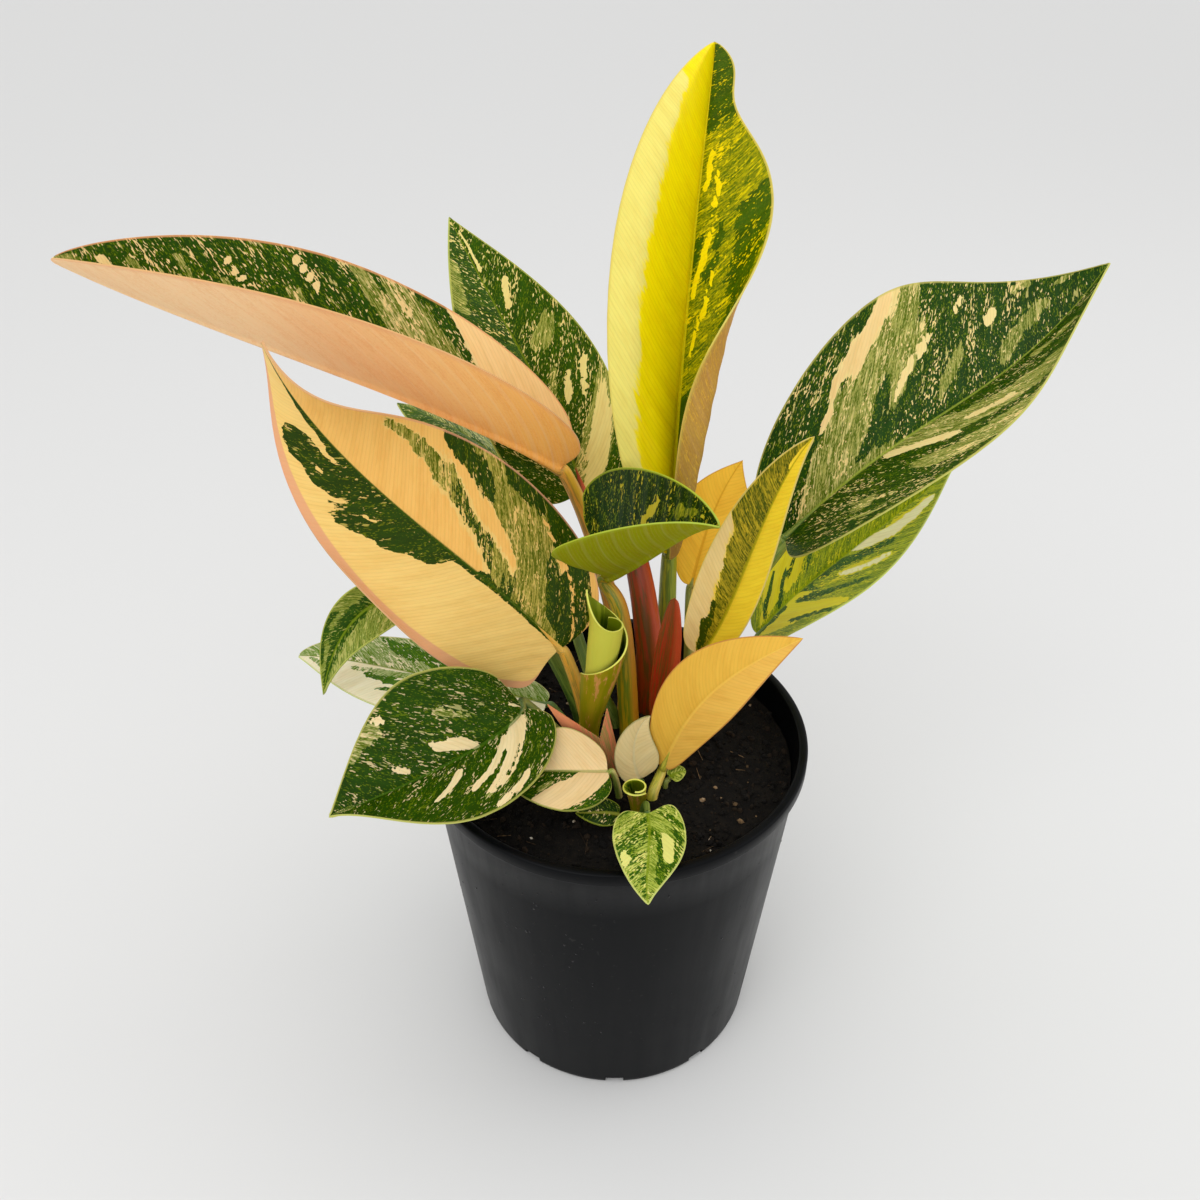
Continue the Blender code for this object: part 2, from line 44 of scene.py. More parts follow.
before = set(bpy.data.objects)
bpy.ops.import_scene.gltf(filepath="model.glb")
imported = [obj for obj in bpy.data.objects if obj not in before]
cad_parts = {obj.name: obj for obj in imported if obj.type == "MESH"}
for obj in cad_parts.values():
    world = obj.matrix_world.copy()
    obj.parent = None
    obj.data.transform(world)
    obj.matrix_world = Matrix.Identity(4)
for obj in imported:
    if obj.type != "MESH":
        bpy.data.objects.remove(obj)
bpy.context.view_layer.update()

MM = 0.001
MERGE = 0.01 * MM
SHEET_SHARP, POT_SHARP, MIX_SHARP = (math.radians(angle) for angle in (55, 50, 60))
BODY = "root"

# The pot and its filling, as in the part's source
POT_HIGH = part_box("pot")[1]
POT_RIM_RADIUS = POT_HIGH.x
POT_HEIGHT = POT_HIGH.z
POT_BASE_RADIUS = 55.5 * MM
POT_WALL = 1.6 * MM
POT_FLOOR = 2.4 * MM
POT_LIP_RADIUS = 0.9 * MM
COLLAR_HEIGHT = 5 * MM
COLLAR_STEP = 1.8 * MM
COLLAR_CORNER = 0.5 * MM
FOOT_CHAMFER = 1.5 * MM
POT_SIDES = 160
DRAIN_SLOTS = 10
DRAIN_SLOT_SIZE = (9 * MM, 7 * MM, 7 * MM)
SOIL_TOP = 124 * MM
SOIL_EDGE = 2.1 * MM
SOIL_BUMPS = (14 * MM, 5 * MM)
FIBRES = 60
WHOLE_TURN = 6.28
DROPS_BETWEEN = (30 * MM, 122 * MM)

# Stalks, in mm and in stations along a leaf's rib
STALK_DEPTH = 9
STALK_NECK = 4
STALK_SIDES = 28
STALK_END_RADIUS = 0.35
UNDER_RIB_STATIONS = (1, 3, 6)
ROUTE_STEPS = 8

# Leaf blades, in mm and in parts of a blade's length
BLADE_ROWS = 120
BLADE_COLUMNS = 24
FULL_ROWS = 14
RIB_THICKNESS = 1.9
RIB_STATIONS = 40
RIB_PACE = 1.2
ROW_SWEEP = 1.6
LOBE_AT = 0.09
TWIST_CENTRE = 0.35
CREASE_FADE = 0.5
CREASE_SHARPNESS = 1.6
CROSS_STEPS = 12
ROLL_THICKNESS = 0.6
ROLL_FLARE_FROM = 0.25
ROLL_FLARE_LENGTH = 0.6
ROLL_LIP_FROM = 0.86
ROLL_LIP_FLARE = 0.35
SHEATH_THICKNESS = 0.6
CENTRE_CROWDING = 1.45
FOOT_CROWDING = 1.25
VEIN_SLANT = (0.75, 0.25)
QUILT_SPACING = 7.5
QUILT_DEPTH = 0.14
QUILT_FROM_RIB = 4
QUILT_FROM_MARGIN = 3
QUILT_FROM_BASE = 0.06
QUILT_FROM_TIP = 0.1
GROOVE_DEPTH = 0.35
GROOVE_WIDTH = 1.0
GROOVE_FADE = 0.5
FULL_GROOVE_LENGTH = 60
RIB_WIDTH = 1.2

# The camera of the photograph: the whole picture is 1200 x 1200
PICTURE = 1200
FOCAL_PIXELS = 1155.6
SENSOR = 36
CAMERA_PLACE = (-0.0057, -0.3193, 0.419)
CAMERA_DOWN = 35.15

# The stage: name, place, size and watts of each lamp
LAMPS = (("key", (-0.4, -0.8, 1.1), 0.9, 5), ("fill", (0.9, 0.2, 0.9), 0.7, 1.5))
LAMPS_AIM = (0, 0, 0.15)
FLOOR_HALF = 4

# Seeds of the random draws, and how far apart the patterns of two blades or stalks lie
DROPS_SEED = 11
CRUMBS_SEED = 5
FIBRES_SEED = 6
WAVER_SEED = 7
BLADE_SEED_STEP = 4.7
STALK_SEED_STEP = 3.1


def srgb(red, green, blue):
    """A colour as a screen shows it, 0 to 255, as the linear numbers that a shader takes."""
    return tuple(round((c / 255) ** 2.2, 4) for c in (red, green, blue))


# Colours of leaves and stalks are written 0 to 255, and their records turn them into linear ones
DARK = (34, 60, 4)
MID = (118, 138, 22)
PALE_GREEN = (176, 186, 80)
CREAM = (236, 212, 152)
PEACH = (232, 184, 108)
YELLOW = (248, 224, 4)
ORANGE = (236, 184, 56)
EDGE_GREEN = (180, 188, 90)
GREEN_STALK = (96, 122, 44)

# Levels of pale, middle green and warm tint that a named paint stands for
PAINTS = {
    "dark": (-1.2, -0.6, 0),
    "specked": (-0.6, -0.1, 0),
    "flecked": (-0.12, 0.1, 0),
    "marbled": (0.1, 0.5, 0),
    "middle": (-0.55, 1.1, 0),
    "streaked": (0.3, 1.1, 0),
    "light": (1.8, 0.5, 0),
    "warm": (1.8, 0.5, 1),
}
BRUSH_SOFT = 5
BRUSH_STRETCH = 0.6

# How the edge of a brush stroke wanders, in mm along the rib and across it
WAVER_CELL = (7, 9)
WAVER_REACH = (1.2, 2.5)
RAGGED_CELL = (2.4, 12)
RAGGED_REACH = (0, 2.5)
CALM_BY_RIB = 8
FULL_WAVER_WIDTH = 30

# A blade's crease: its angle, where it starts across the half, and where along the blade it runs
FLAT = (0, 0.5, 0, 1)


@dataclass
class Leaf:
    """A blade: rib points in mm, angles in degrees, pairs as (left, right) of its upper face."""
    name: str
    rib: tuple
    face: tuple
    width: tuple
    fold: tuple = (10, 10)
    curl: tuple = (0, 0)
    twist: float = 0
    peak: float = 0.4
    tip_power: float = 0.9
    base_power: float = 0.7
    lobe: tuple = (0.05, 0.05)
    crease: tuple = (FLAT, FLAT)
    nick: tuple = (0.8, 0.05, 0)
    rows: int = 12


@dataclass
class Look:
    """Colours of a blade: the paints of its left and right half, then strokes laid over them.

    A stroke is a paint, a radius in mm, and points: where the vein starts along the rib from
    0 to 1, and how far across from -1 (right) to 1 (left).
    """
    base: tuple = ("flecked", "flecked")
    strokes: tuple = ()
    dark: tuple = DARK
    middle: tuple = MID
    light: tuple = CREAM
    warm: tuple = PEACH
    rib: tuple = MID
    margin: tuple = EDGE_GREEN
    under: tuple = PALE_GREEN
    under_base: tuple = ()
    under_share: float = 0.55
    fleck: float = 1
    speck: float = 1
    turned_from: float = 1
    streaks: float = 0.75
    slot: str = "leaf_green"

    def __post_init__(self):
        self.under_base = self.under_base or self.under
        for part in ("dark", "middle", "light", "warm", "rib", "margin", "under", "under_base"):
            setattr(self, part, srgb(*getattr(self, part)))


@dataclass
class Stalk:
    """A round stalk through points in mm, from its foot in the mix to its top, and its radii."""
    name: str
    route: tuple
    radius: tuple
    colours: tuple
    slot: str = "stalk_green"

    def __post_init__(self):
        self.colours = [srgb(*colour) for colour in self.colours]


@dataclass
class Roll:
    """A young leaf rolled round itself: its axis points in mm, radii, spiral and rim heights."""
    name: str
    axis: tuple
    radius: tuple
    first_angle: float
    turns: float
    tip_at: float
    rim: tuple
    shrink: float
    rows: int
    columns: int


LEAVES = [
    Leaf("leaf_tall", ((20, 40, 187), (22, 41, 270), (26, 52, 324), (29, 63, 356)), (-82, 8),
         (36.5, 27.5), (42, 42), (-2, 12), twist=22, peak=0.49, tip_power=0.8, base_power=0.63,
         lobe=(0, 0.05), crease=((-40, 0.62, 0, 1), (155, 0.42, 0, 0.62)), nick=(0.82, 0.115, 0.5),
         rows=16),
    Leaf("leaf_left_long", ((-20, 35, 226), (-72, 29, 256), (-129, 33, 278), (-182, 47, 295)),
         (-76, 76), (36, 34), (62, 48), (18, 14), twist=-20, peak=0.46, tip_power=0.8,
         base_power=0.6, rows=14),
    Leaf("leaf_left_cream", ((-20, 8, 167), (-50, 6, 204), (-82, 0, 244), (-102, -9, 290)),
         (-138, 55), (32, 35), (3, 10), (-5, -6), twist=-3, peak=0.36, tip_power=0.93,
         base_power=0.61, lobe=(0.085, 0.02), crease=((95, 0.83, 0.1, 0.85), FLAT), rows=14),
    Leaf("leaf_back", ((-12, 50, 207), (-24, 59, 238), (-42, 69, 271), (-57, 78, 299)), (-72, 50),
         (29, 26), (14, 5), (2, -2), twist=4, peak=0.37, tip_power=1.05),
    Leaf("leaf_back_left", ((-25, 48, 203), (-42, 53, 220), (-60, 57, 231), (-79, 63, 237)),
         (-100, 92), (20, 17), (4, -12), (-3, -11), twist=-11, peak=0.43, rows=9),
    Leaf("leaf_centre", ((-3, 22, 189), (8, 9, 204), (20, -9, 225), (30, -23, 237.5)), (-101, 68),
         (33.5, 34.5), (45, 41), (27, 25), twist=4, peak=0.3, lobe=(0.09, -0.04),
         nick=(0.06, 0.16, 0.75), rows=12),
    Leaf("leaf_right_big", ((63, 45, 191), (102, 48, 230), (135.5, 54, 254), (163, 58, 290)),
         (-93, 82), (47, 45), (42, 20), (14, 5), twist=-25, peak=0.475, tip_power=0.95,
         base_power=0.65, rows=14),
    Leaf("leaf_right_low", ((56, 42, 148), (71, 46, 166), (95, 53, 185), (127, 66, 208)),
         (-89, 86), (24, 31), (0, 20), (-5, 5), twist=10, peak=0.5, tip_power=1.04,
         base_power=0.68, rows=10),
    Leaf("leaf_right_narrow", ((30, 10, 163), (40, 7, 190), (49, 7, 223), (61, 5, 253)),
         (-106, 31), (14, 9.5), (12, 21), (1, 5), twist=-9, tip_power=0.85, rows=10),
    Leaf("leaf_right_orange", ((29, 43, 171), (33, 49, 186), (39, 57, 200), (48, 66, 212)),
         (-97, 31), (13, 16), (3, 5), (-1, 0), peak=0.5, tip_power=1.1, rows=8),
    Leaf("leaf_left_hooked", ((-66, 16, 187), (-85, 14, 183), (-98, 9, 171), (-106, 3, 150)),
         (-116, 27), (12, 9), (16, 27), (3, 9), twist=7, peak=0.44, tip_power=1.05, rows=9),
    Leaf("leaf_left_low", ((-26, 14, 137), (-59, 21, 141), (-93, 25, 147), (-118, 21, 154)),
         (-94, 79), (22, 17), (9, -1), (0, -5), twist=-4, peak=0.47, tip_power=0.75, rows=10),
    Leaf("leaf_left_front", ((-33, -8, 153), (-48, -24, 149), (-74, -41, 146), (-92, -57, 150)),
         (-93, 61), (30, 35), (22, 42), (5, 16), twist=30, peak=0.47, tip_power=1.3,
         base_power=0.76, rows=12),
    Leaf("leaf_front_cream", ((-3, -25, 139), (-15, -28, 142), (-27, -29, 143), (-41, -26, 138)),
         (-91, 68), (17, 16), (13, 6), (2, -1), peak=0.42, tip_power=0.87, rows=8),
    Leaf("leaf_front_orange", ((17, -16, 133), (26, -16, 157), (40, -16, 175), (62, -12, 187)),
         (-103, 35), (15, 11), (2, 11), (-4, 1), twist=6, peak=0.47, base_power=0.78, rows=10),
    Leaf("leaf_front_pale", ((8.5, -18, 128.5), (6.5, -16, 135), (7, -13, 144), (12, -11, 152)),
         (-90, 30), (7, 9), peak=0.41, tip_power=1.0, rows=8),
    Leaf("leaf_front_heart", ((10, -48, 142), (10, -61, 142), (9, -73, 141), (9, -84, 140)),
         (-92, 44), (12, 12), (10, 10), (4, 4), peak=0.33, tip_power=0.95, base_power=0.73,
         lobe=(0.09, 0.09), rows=9),
    Leaf("leaf_front_small", ((1, -35, 128), (-4, -37, 131), (-9, -39, 133), (-14, -40, 134)),
         (-80, 60), (5, 5), rows=6),
    Leaf("leaf_bud", ((19.5, -17, 128.5), (21, -17, 130), (23, -17, 131), (25, -17, 131.5)),
         (-90, 55), (3, 3), (5, 5), tip_power=0.6, rows=5),
]

LOOKS = {
    "leaf_tall": Look(
        ("light", "flecked"), (
            ("warm", 5, (-0.3, 0.95), (0.2, 0.9), (0.5, 0.9), (0.75, 0.98)),
            ("middle", 14, (0.1, -0.3), (0.3, -0.4), (0.5, -0.6), (0.65, -0.5)),
            ("flecked", 4, (0.3, -0.7), (0.5, -0.8)),
            ("dark", 3, (0.1, -0.04), (0.22, -0.1)),
            ("dark", 2.6, (0.42, -0.15), (0.5, -0.2)),
            ("flecked", 3, (0.75, -0.2), (0.9, -0.3)),
            ("streaked", 1.4, (0.36, -0.03), (0.5, -0.2), (0.62, -0.35), (0.7, -0.4)),
            ("light", 0.35, (0.4, -0.05), (0.5, -0.18)),
            ("light", 0.35, (0.54, -0.22), (0.62, -0.33)),
            ("light", 0.4, (0.3, -0.1), (0.42, -0.3)),
            ("streaked", 1.2, (0.25, -0.3), (0.29, -0.45)),
            ("light", 0.8, (0.6, -0.1), (0.68, -0.2)),
        ), dark=(66, 94, 2), middle=(110, 122, 6), light=YELLOW, warm=(238, 224, 116),
        rib=(226, 204, 8), margin=(222, 200, 96), under=(226, 150, 84), under_base=(200, 150, 80),
        under_share=0.3, speck=0.7, slot="leaf_yellow"),
    "leaf_left_long": Look(
        ("warm", "flecked"), (
            ("streaked", 2.2, (0.46, -0.3), (0.46, -0.55)),
            ("middle", 1.6, (0.6, -0.3), (0.6, -0.5)),
            ("streaked", 1.3, (0.66, -0.45), (0.67, -0.7)),
            ("light", 0.8, (0.55, -0.6), (0.56, -0.75)),
            ("light", 0.7, (0.4, -0.7), (0.41, -0.85)),
            ("middle", 1.8, (0.78, -0.4), (0.79, -0.6)),
            ("streaked", 5, (0.16, -0.4), (0.22, -0.85)),
            ("middle", 4, (0.24, -0.3), (0.28, -0.8)),
            ("specked", 3, (0.32, -0.5), (0.35, -0.9)),
            ("warm", 9, (-0.05, -0.95), (0.08, -0.8)),
            ("warm", 9, (0, -0.3), (0.06, -0.6)),
            ("light", 1.6, (0.85, -0.5), (0.86, -0.62)),
            ("middle", 6, (0.95, -0.5), (1, -0.5)),
        ), dark=(40, 74, 2), middle=(114, 134, 12), warm=(250, 212, 150), margin=(226, 160, 112),
        under=(242, 200, 150), under_base=(248, 176, 84), under_share=0.04, fleck=1.1),
    "leaf_left_cream": Look(
        ("light", "warm"), (
            ("dark", 5.2, (0.4, 0.08), (0.5, 0.26), (0.6, 0.33), (0.68, 0.44), (0.74, 0.55)),
            ("dark", 4, (0.4, 0.04), (0.5, 0.1), (0.62, 0.12)),
            ("dark", 2.4, (0.49, 0.45), (0.54, 0.62)),
            ("light", 1, (0.58, 0.5), (0.61, 0.62)),
            ("light", 0.7, (0.66, 0.42), (0.68, 0.5)),
            ("light", 0.6, (0.52, 0.3), (0.54, 0.38)),
            ("dark", 1.3, (0.6, 0.03), (0.72, 0.05), (0.97, 0.03)),
            ("dark", 0.6, (0.02, 0.01), (0.2, 0.01), (0.42, 0.02)),
            ("dark", 0.7, (0.05, -0.01), (0.2, -0.01), (0.3, -0.01)),
            ("middle", 10, (0.08, -0.2), (0.16, -0.5), (0.2, -0.85)),
            ("streaked", 5, (0.16, -0.72), (0.22, -0.84), (0.3, -0.9)),
            ("streaked", 2.4, (0.08, -0.3), (0.12, -0.55), (0.14, -0.8)),
            ("warm", 3.2, (0.21, -0.25), (0.25, -0.4), (0.32, -0.55), (0.4, -0.7), (0.47, -0.82)),
            ("marbled", 3.6, (0.18, -0.04), (0.24, -0.14), (0.3, -0.3), (0.34, -0.4), (0.38, -0.52),
             (0.43, -0.64)),
            ("middle", 2, (0.43, -0.64), (0.52, -0.78), (0.6, -0.9)),
            ("dark", 2.4, (0.39, -0.94), (0.32, -0.86), (0.26, -0.78)),
            ("dark", 2.4, (0.18, -0.98), (0.1, -0.98), (0, -0.9)),
            ("dark", 4.5, (-0.02, -0.15), (0.03, -0.35)),
            ("dark", 3.5, (0.06, -0.35), (0.07, -0.45)),
            ("dark", 5, (-0.08, -0.5), (-0.02, -0.8), (0.03, -0.95)),
        ), dark=(46, 68, 8), middle=(126, 130, 18), light=(236, 198, 116),
        warm=(240, 186, 100), speck=0.8, turned_from=0.87,
        rib=(60, 84, 8), margin=(218, 156, 118), under=(228, 168, 112), under_share=0.3,
        slot="leaf_cream"),
    "leaf_back": Look(
        ("flecked", "flecked"), (
            ("streaked", 2.4, (0.42, -0.62), (0.46, -0.35)),
            ("streaked", 1.8, (0.33, -0.08), (0.36, -0.25)),
            ("streaked", 8, (0.03, -0.2), (0.08, -0.6)),
            ("light", 3.4, (0, -0.3), (0.09, -0.62)),
            ("light", 1, (0.26, -0.28), (0.29, -0.45)),
            ("light", 1, (0.62, -0.25), (0.66, -0.5)),
            ("light", 0.8, (0.78, -0.12), (0.92, -0.3)),
            ("light", 1, (0.2, -0.6), (0.23, -0.75)),
            ("middle", 3, (0.6, 0.85), (0.75, 0.85)),
        ), dark=(48, 82, 2), light=(236, 222, 140), fleck=1.2),
    "leaf_back_left": Look(
        ("flecked", "marbled"), (
            ("light", 2, (0.12, -0.5), (0.2, -0.6)),
        ), dark=(66, 104, 2), middle=(134, 154, 20), light=(222, 220, 140)),
    "leaf_centre": Look(
        ("specked", "specked"), (
            ("middle", 2.5, (0.6, 0.42), (0.72, 0.45)),
            ("light", 1.2, (0.3, 0.4), (0.4, 0.6)),
            ("light", 0.8, (0.8, 0.35), (0.82, 0.4)),
        ), dark=(30, 56, 2), light=(206, 194, 50), under=(140, 144, 12), under_share=0.04,
        rib=(110, 116, 20), margin=(160, 176, 50)),
    "leaf_right_big": Look(
        ("specked", "specked"), (
            ("flecked", 13, (0.42, 0.6), (0.55, 0.5)),
            ("flecked", 14, (-0.1, 0.5), (0.05, 0.85)),
            ("streaked", 9, (0.1, 0.05), (0.16, 0.4), (0.21, 0.85)),
            ("middle", 6, (0.1, 0.3), (0.18, 0.7)),
            ("middle", 5, (0.28, 0.5), (0.3, 0.85)),
            ("dark", 2, (0.25, 0.2), (0.26, 0.35)),
            ("dark", 2.6, (0.02, 0.4), (0.05, 0.6)),
            ("streaked", 2.6, (0.3, 0.3), (0.35, 0.6)),
            ("light", 1.2, (0.3, 0.3), (0.33, 0.42)),
            ("warm", 3.4, (0.14, 0.76), (0.19, 0.93)),
            ("warm", 1.5, (0.08, 0.7), (0.11, 0.78)),
            ("warm", 1.4, (0.07, 0.5), (0.09, 0.56)),
            ("streaked", 1.6, (0.45, 0.15), (0.5, 0.33)),
            ("light", 1.5, (0.6, 0.5), (0.63, 0.62)),
            ("light", 1, (0.36, 0.5), (0.38, 0.56)),
            ("light", 1, (0.48, 0.72), (0.5, 0.8)),
            ("middle", 3, (0.66, 0.15), (0.73, 0.32), (0.8, 0.45)),
            ("streaked", 2, (0.7, 0.85), (0.74, 0.95)),
            ("middle", 2, (0.85, 0.8), (0.88, 0.9)),
            ("middle", 1, (0, 0.03), (0.3, 0.03)),
            ("middle", 8, (0.32, -0.05), (0.45, -0.5), (0.58, -0.9)),
            ("streaked", 4, (0.4, -0.15), (0.5, -0.5), (0.6, -0.85)),
            ("light", 2.6, (0.27, -0.12), (0.31, -0.4)),
            ("light", 1.6, (0.4, -0.4), (0.46, -0.6)),
            ("streaked", 7, (0.2, -0.7), (0.3, -0.9), (0.36, -1)),
            ("specked", 2.4, (0.24, -0.5), (0.33, -0.62), (0.42, -0.9)),
            ("middle", 2.4, (0.72, -0.2), (0.8, -0.6)),
            ("flecked", 9, (0.1, -0.4), (0.02, -0.7)),
            ("marbled", 3, (0.06, -0.5), (0.0, -0.8)),
        ), dark=(36, 70, 1), middle=(124, 142, 18), light=(242, 220, 150),
        warm=(242, 210, 144), margin=(190, 184, 96), rib=(146, 160, 56)),
    "leaf_right_low": Look(
        ("middle", "middle"), (
            ("light", 5, (0.1, 0.8), (0.4, 0.8)),
            ("light", 2, (0.05, 0.3), (0.3, 0.35)),
            ("specked", 2.2, (0.08, 0.3), (0.1, 0.55)),
            ("dark", 1.2, (0.1, 0.55), (0.11, 0.8)),
            ("specked", 1.6, (0.2, 0.12), (0.21, 0.5)),
            ("dark", 0.8, (0.24, 0.4), (0.26, 0.8)),
            ("marbled", 3, (0.36, 0.3), (0.4, 0.8)),
            ("streaked", 6, (0.7, -0.3), (0.85, -0.4)),
            ("dark", 3, (0.36, -0.08), (0.5, -0.2)),
            ("streaked", 5, (0.4, -0.3), (0.48, -0.5), (0.52, -0.8)),
            ("warm", 1.8, (0.44, -0.4), (0.5, -0.7)),
            ("warm", 4, (0.64, -0.1), (0.7, -0.35), (0.84, -0.6)),
            ("specked", 3, (0.53, -0.1), (0.6, -0.5)),
            ("light", 6, (0.06, -0.3), (0.17, -0.6)),
            ("light", 3, (0.2, -0.25), (0.3, -0.12)),
            ("specked", 2.4, (0.27, -0.25), (0.33, -0.75)),
            ("dark", 1.6, (0.02, -0.08), (0.2, -0.06)),
            ("dark", 1.4, (0.1, -0.6), (0.12, -0.8)),
            ("middle", 3, (0.9, -0.6), (1, -0.5)),
        ), dark=(48, 90, 0), middle=(138, 162, 4), light=(222, 214, 30),
        warm=(246, 242, 190), rib=(150, 168, 30), slot="leaf_yellow_green"),
    "leaf_right_narrow": Look(
        ("middle", "light"), (
            ("dark", 1.1, (0.02, 0.25), (0.12, 0.36), (0.24, 0.42)),
            ("warm", 4, (-0.3, 0.92), (0.2, 0.9), (0.36, 1), (0.48, 1.15)),
            ("warm", 2.4, (-0.3, -0.4), (-0.1, -0.7), (0.08, -1)),
            ("light", 1.2, (0.86, 0.1), (1, 0.1)),
        ), dark=(58, 74, 2), middle=(86, 88, 4), light=(240, 206, 52),
        warm=(234, 204, 136), rib=(160, 150, 16), margin=(222, 196, 100), speck=0.3, streaks=0.35,
        slot="leaf_yellow"),
    "leaf_right_orange": Look(("light", "light"), light=(255, 200, 64), rib=(222, 160, 36),
                              margin=(200, 140, 50), under=ORANGE, slot="leaf_orange"),
    "leaf_left_hooked": Look(
        ("streaked", "streaked"), (
            ("specked", 2.2, (0.3, -0.12), (0.5, -0.16), (0.65, -0.1), (0.8, -0.04), (0.95, -0.02)),
            ("specked", 1.4, (0.42, 0.04), (0.6, 0.12), (0.75, 0.2), (0.95, 0.3)),
            ("dark", 1, (0.45, -0.95), (0.6, -0.97), (0.78, -0.95)),
        ), dark=(48, 82, 6), middle=(122, 138, 40), light=(172, 174, 96)),
    "leaf_left_low": Look(
        ("light", "middle"), (
            ("middle", 1.2, (0.42, 0.1), (0.55, 0.14), (0.7, 0.2)),
            ("specked", 0.9, (0.62, 0.3), (0.5, 0.34), (0.4, 0.3)),
            ("specked", 1, (0.5, 0.62), (0.44, 0.55), (0.38, 0.6)),
            ("specked", 2.2, (0.28, 0.15), (0.42, 0.2)),
            ("streaked", 2, (0.5, -0.12), (0.75, -0.14)),
            ("specked", 3, (0.36, -0.4), (0.5, -0.7)),
            ("middle", 2, (0.92, 0.2), (0.84, 0.5)),
        ), dark=(64, 108, 4), middle=(118, 150, 18), light=(244, 238, 206),
        margin=(200, 200, 140)),
    "leaf_left_front": Look(
        ("specked", "specked"), (
            ("light", 1.8, (0.33, -0.08), (0.4, -0.22)),
            ("light", 0.8, (-0.02, -0.2), (0.02, -0.3)),
            ("light", 4.4, (0.1, 0.1), (0.14, 0.3), (0.15, 0.5)),
            ("light", 1.4, (0.2, 0.15), (0.25, 0.5)),
            ("specked", 0.8, (0.17, 0.3), (0.19, 0.55)),
            ("specked", 0.7, (0.11, 0.42), (0.12, 0.6)),
            ("light", 1.5, (0.38, 0.24), (0.41, 0.48)),
            ("streaked", 1.5, (0.15, 0.55), (0.16, 0.7)),
            ("light", 1.2, (0, 0.9), (0.05, 0.9)),
            ("light", 2, (0.36, -0.82), (0.4, -0.9)),
            ("middle", 3, (0.42, -0.88), (0.55, -0.93), (0.62, -0.9)),
            ("middle", 1.8, (0.2, -0.4), (0.21, -0.45)),
            ("light", 1.2, (0.57, -0.15), (0.58, -0.2)),
            ("middle", 3, (0.88, 0), (1, 0)),
        ), dark=(42, 72, 2), middle=(124, 142, 24), light=(240, 218, 168),
        margin=(176, 172, 90), rib=(70, 104, 24), speck=0.75),
    "leaf_front_cream": Look(
        ("specked", "light"), (
            ("light", 5, (0.08, 0.4), (0.15, 0.6), (0.3, 0.75)),
            ("light", 3, (0.2, 0.25), (0.22, 0.3)),
            ("middle", 1.5, (0.45, 0.45), (0.47, 0.5)),
        ), dark=(44, 76, 4), light=(232, 202, 150), rib=(150, 150, 80),
        margin=(160, 160, 80), slot="leaf_cream"),
    "leaf_front_orange": Look(("light", "warm"), light=(222, 174, 68), warm=(222, 174, 78),
                              rib=(230, 186, 80), margin=(176, 112, 60), under=(222, 164, 76),
                              slot="leaf_orange"),
    "leaf_front_pale": Look(("light", "light"), light=(212, 190, 136), rib=(200, 186, 140),
                            margin=(170, 160, 110), under=(200, 184, 140), slot="leaf_pale"),
    "leaf_front_heart": Look(
        ("marbled", "marbled"), (
            ("flecked", 3, (0.1, 0.5), (0.5, 0.5)),
            ("streaked", 1.6, (0.3, 0), (0.6, 0.05), (0.9, 0.02)),
            ("middle", 2.2, (0.05, 0.15), (0.12, 0.35)),
            ("light", 1.1, (0.15, 0.5), (0.3, 0.62), (0.36, 0.6)),
            ("light", 0.9, (0.3, -0.8), (0.42, -0.75)),
        ), dark=(50, 86, 2), middle=(138, 160, 38), light=(216, 214, 120),
        margin=(196, 200, 110)),
    "leaf_front_small": Look(("specked", "specked"), rib=(160, 160, 60), margin=(140, 150, 50)),
    "leaf_bud": Look(("streaked", "streaked"), light=PALE_GREEN, slot="leaf_pale"),
}

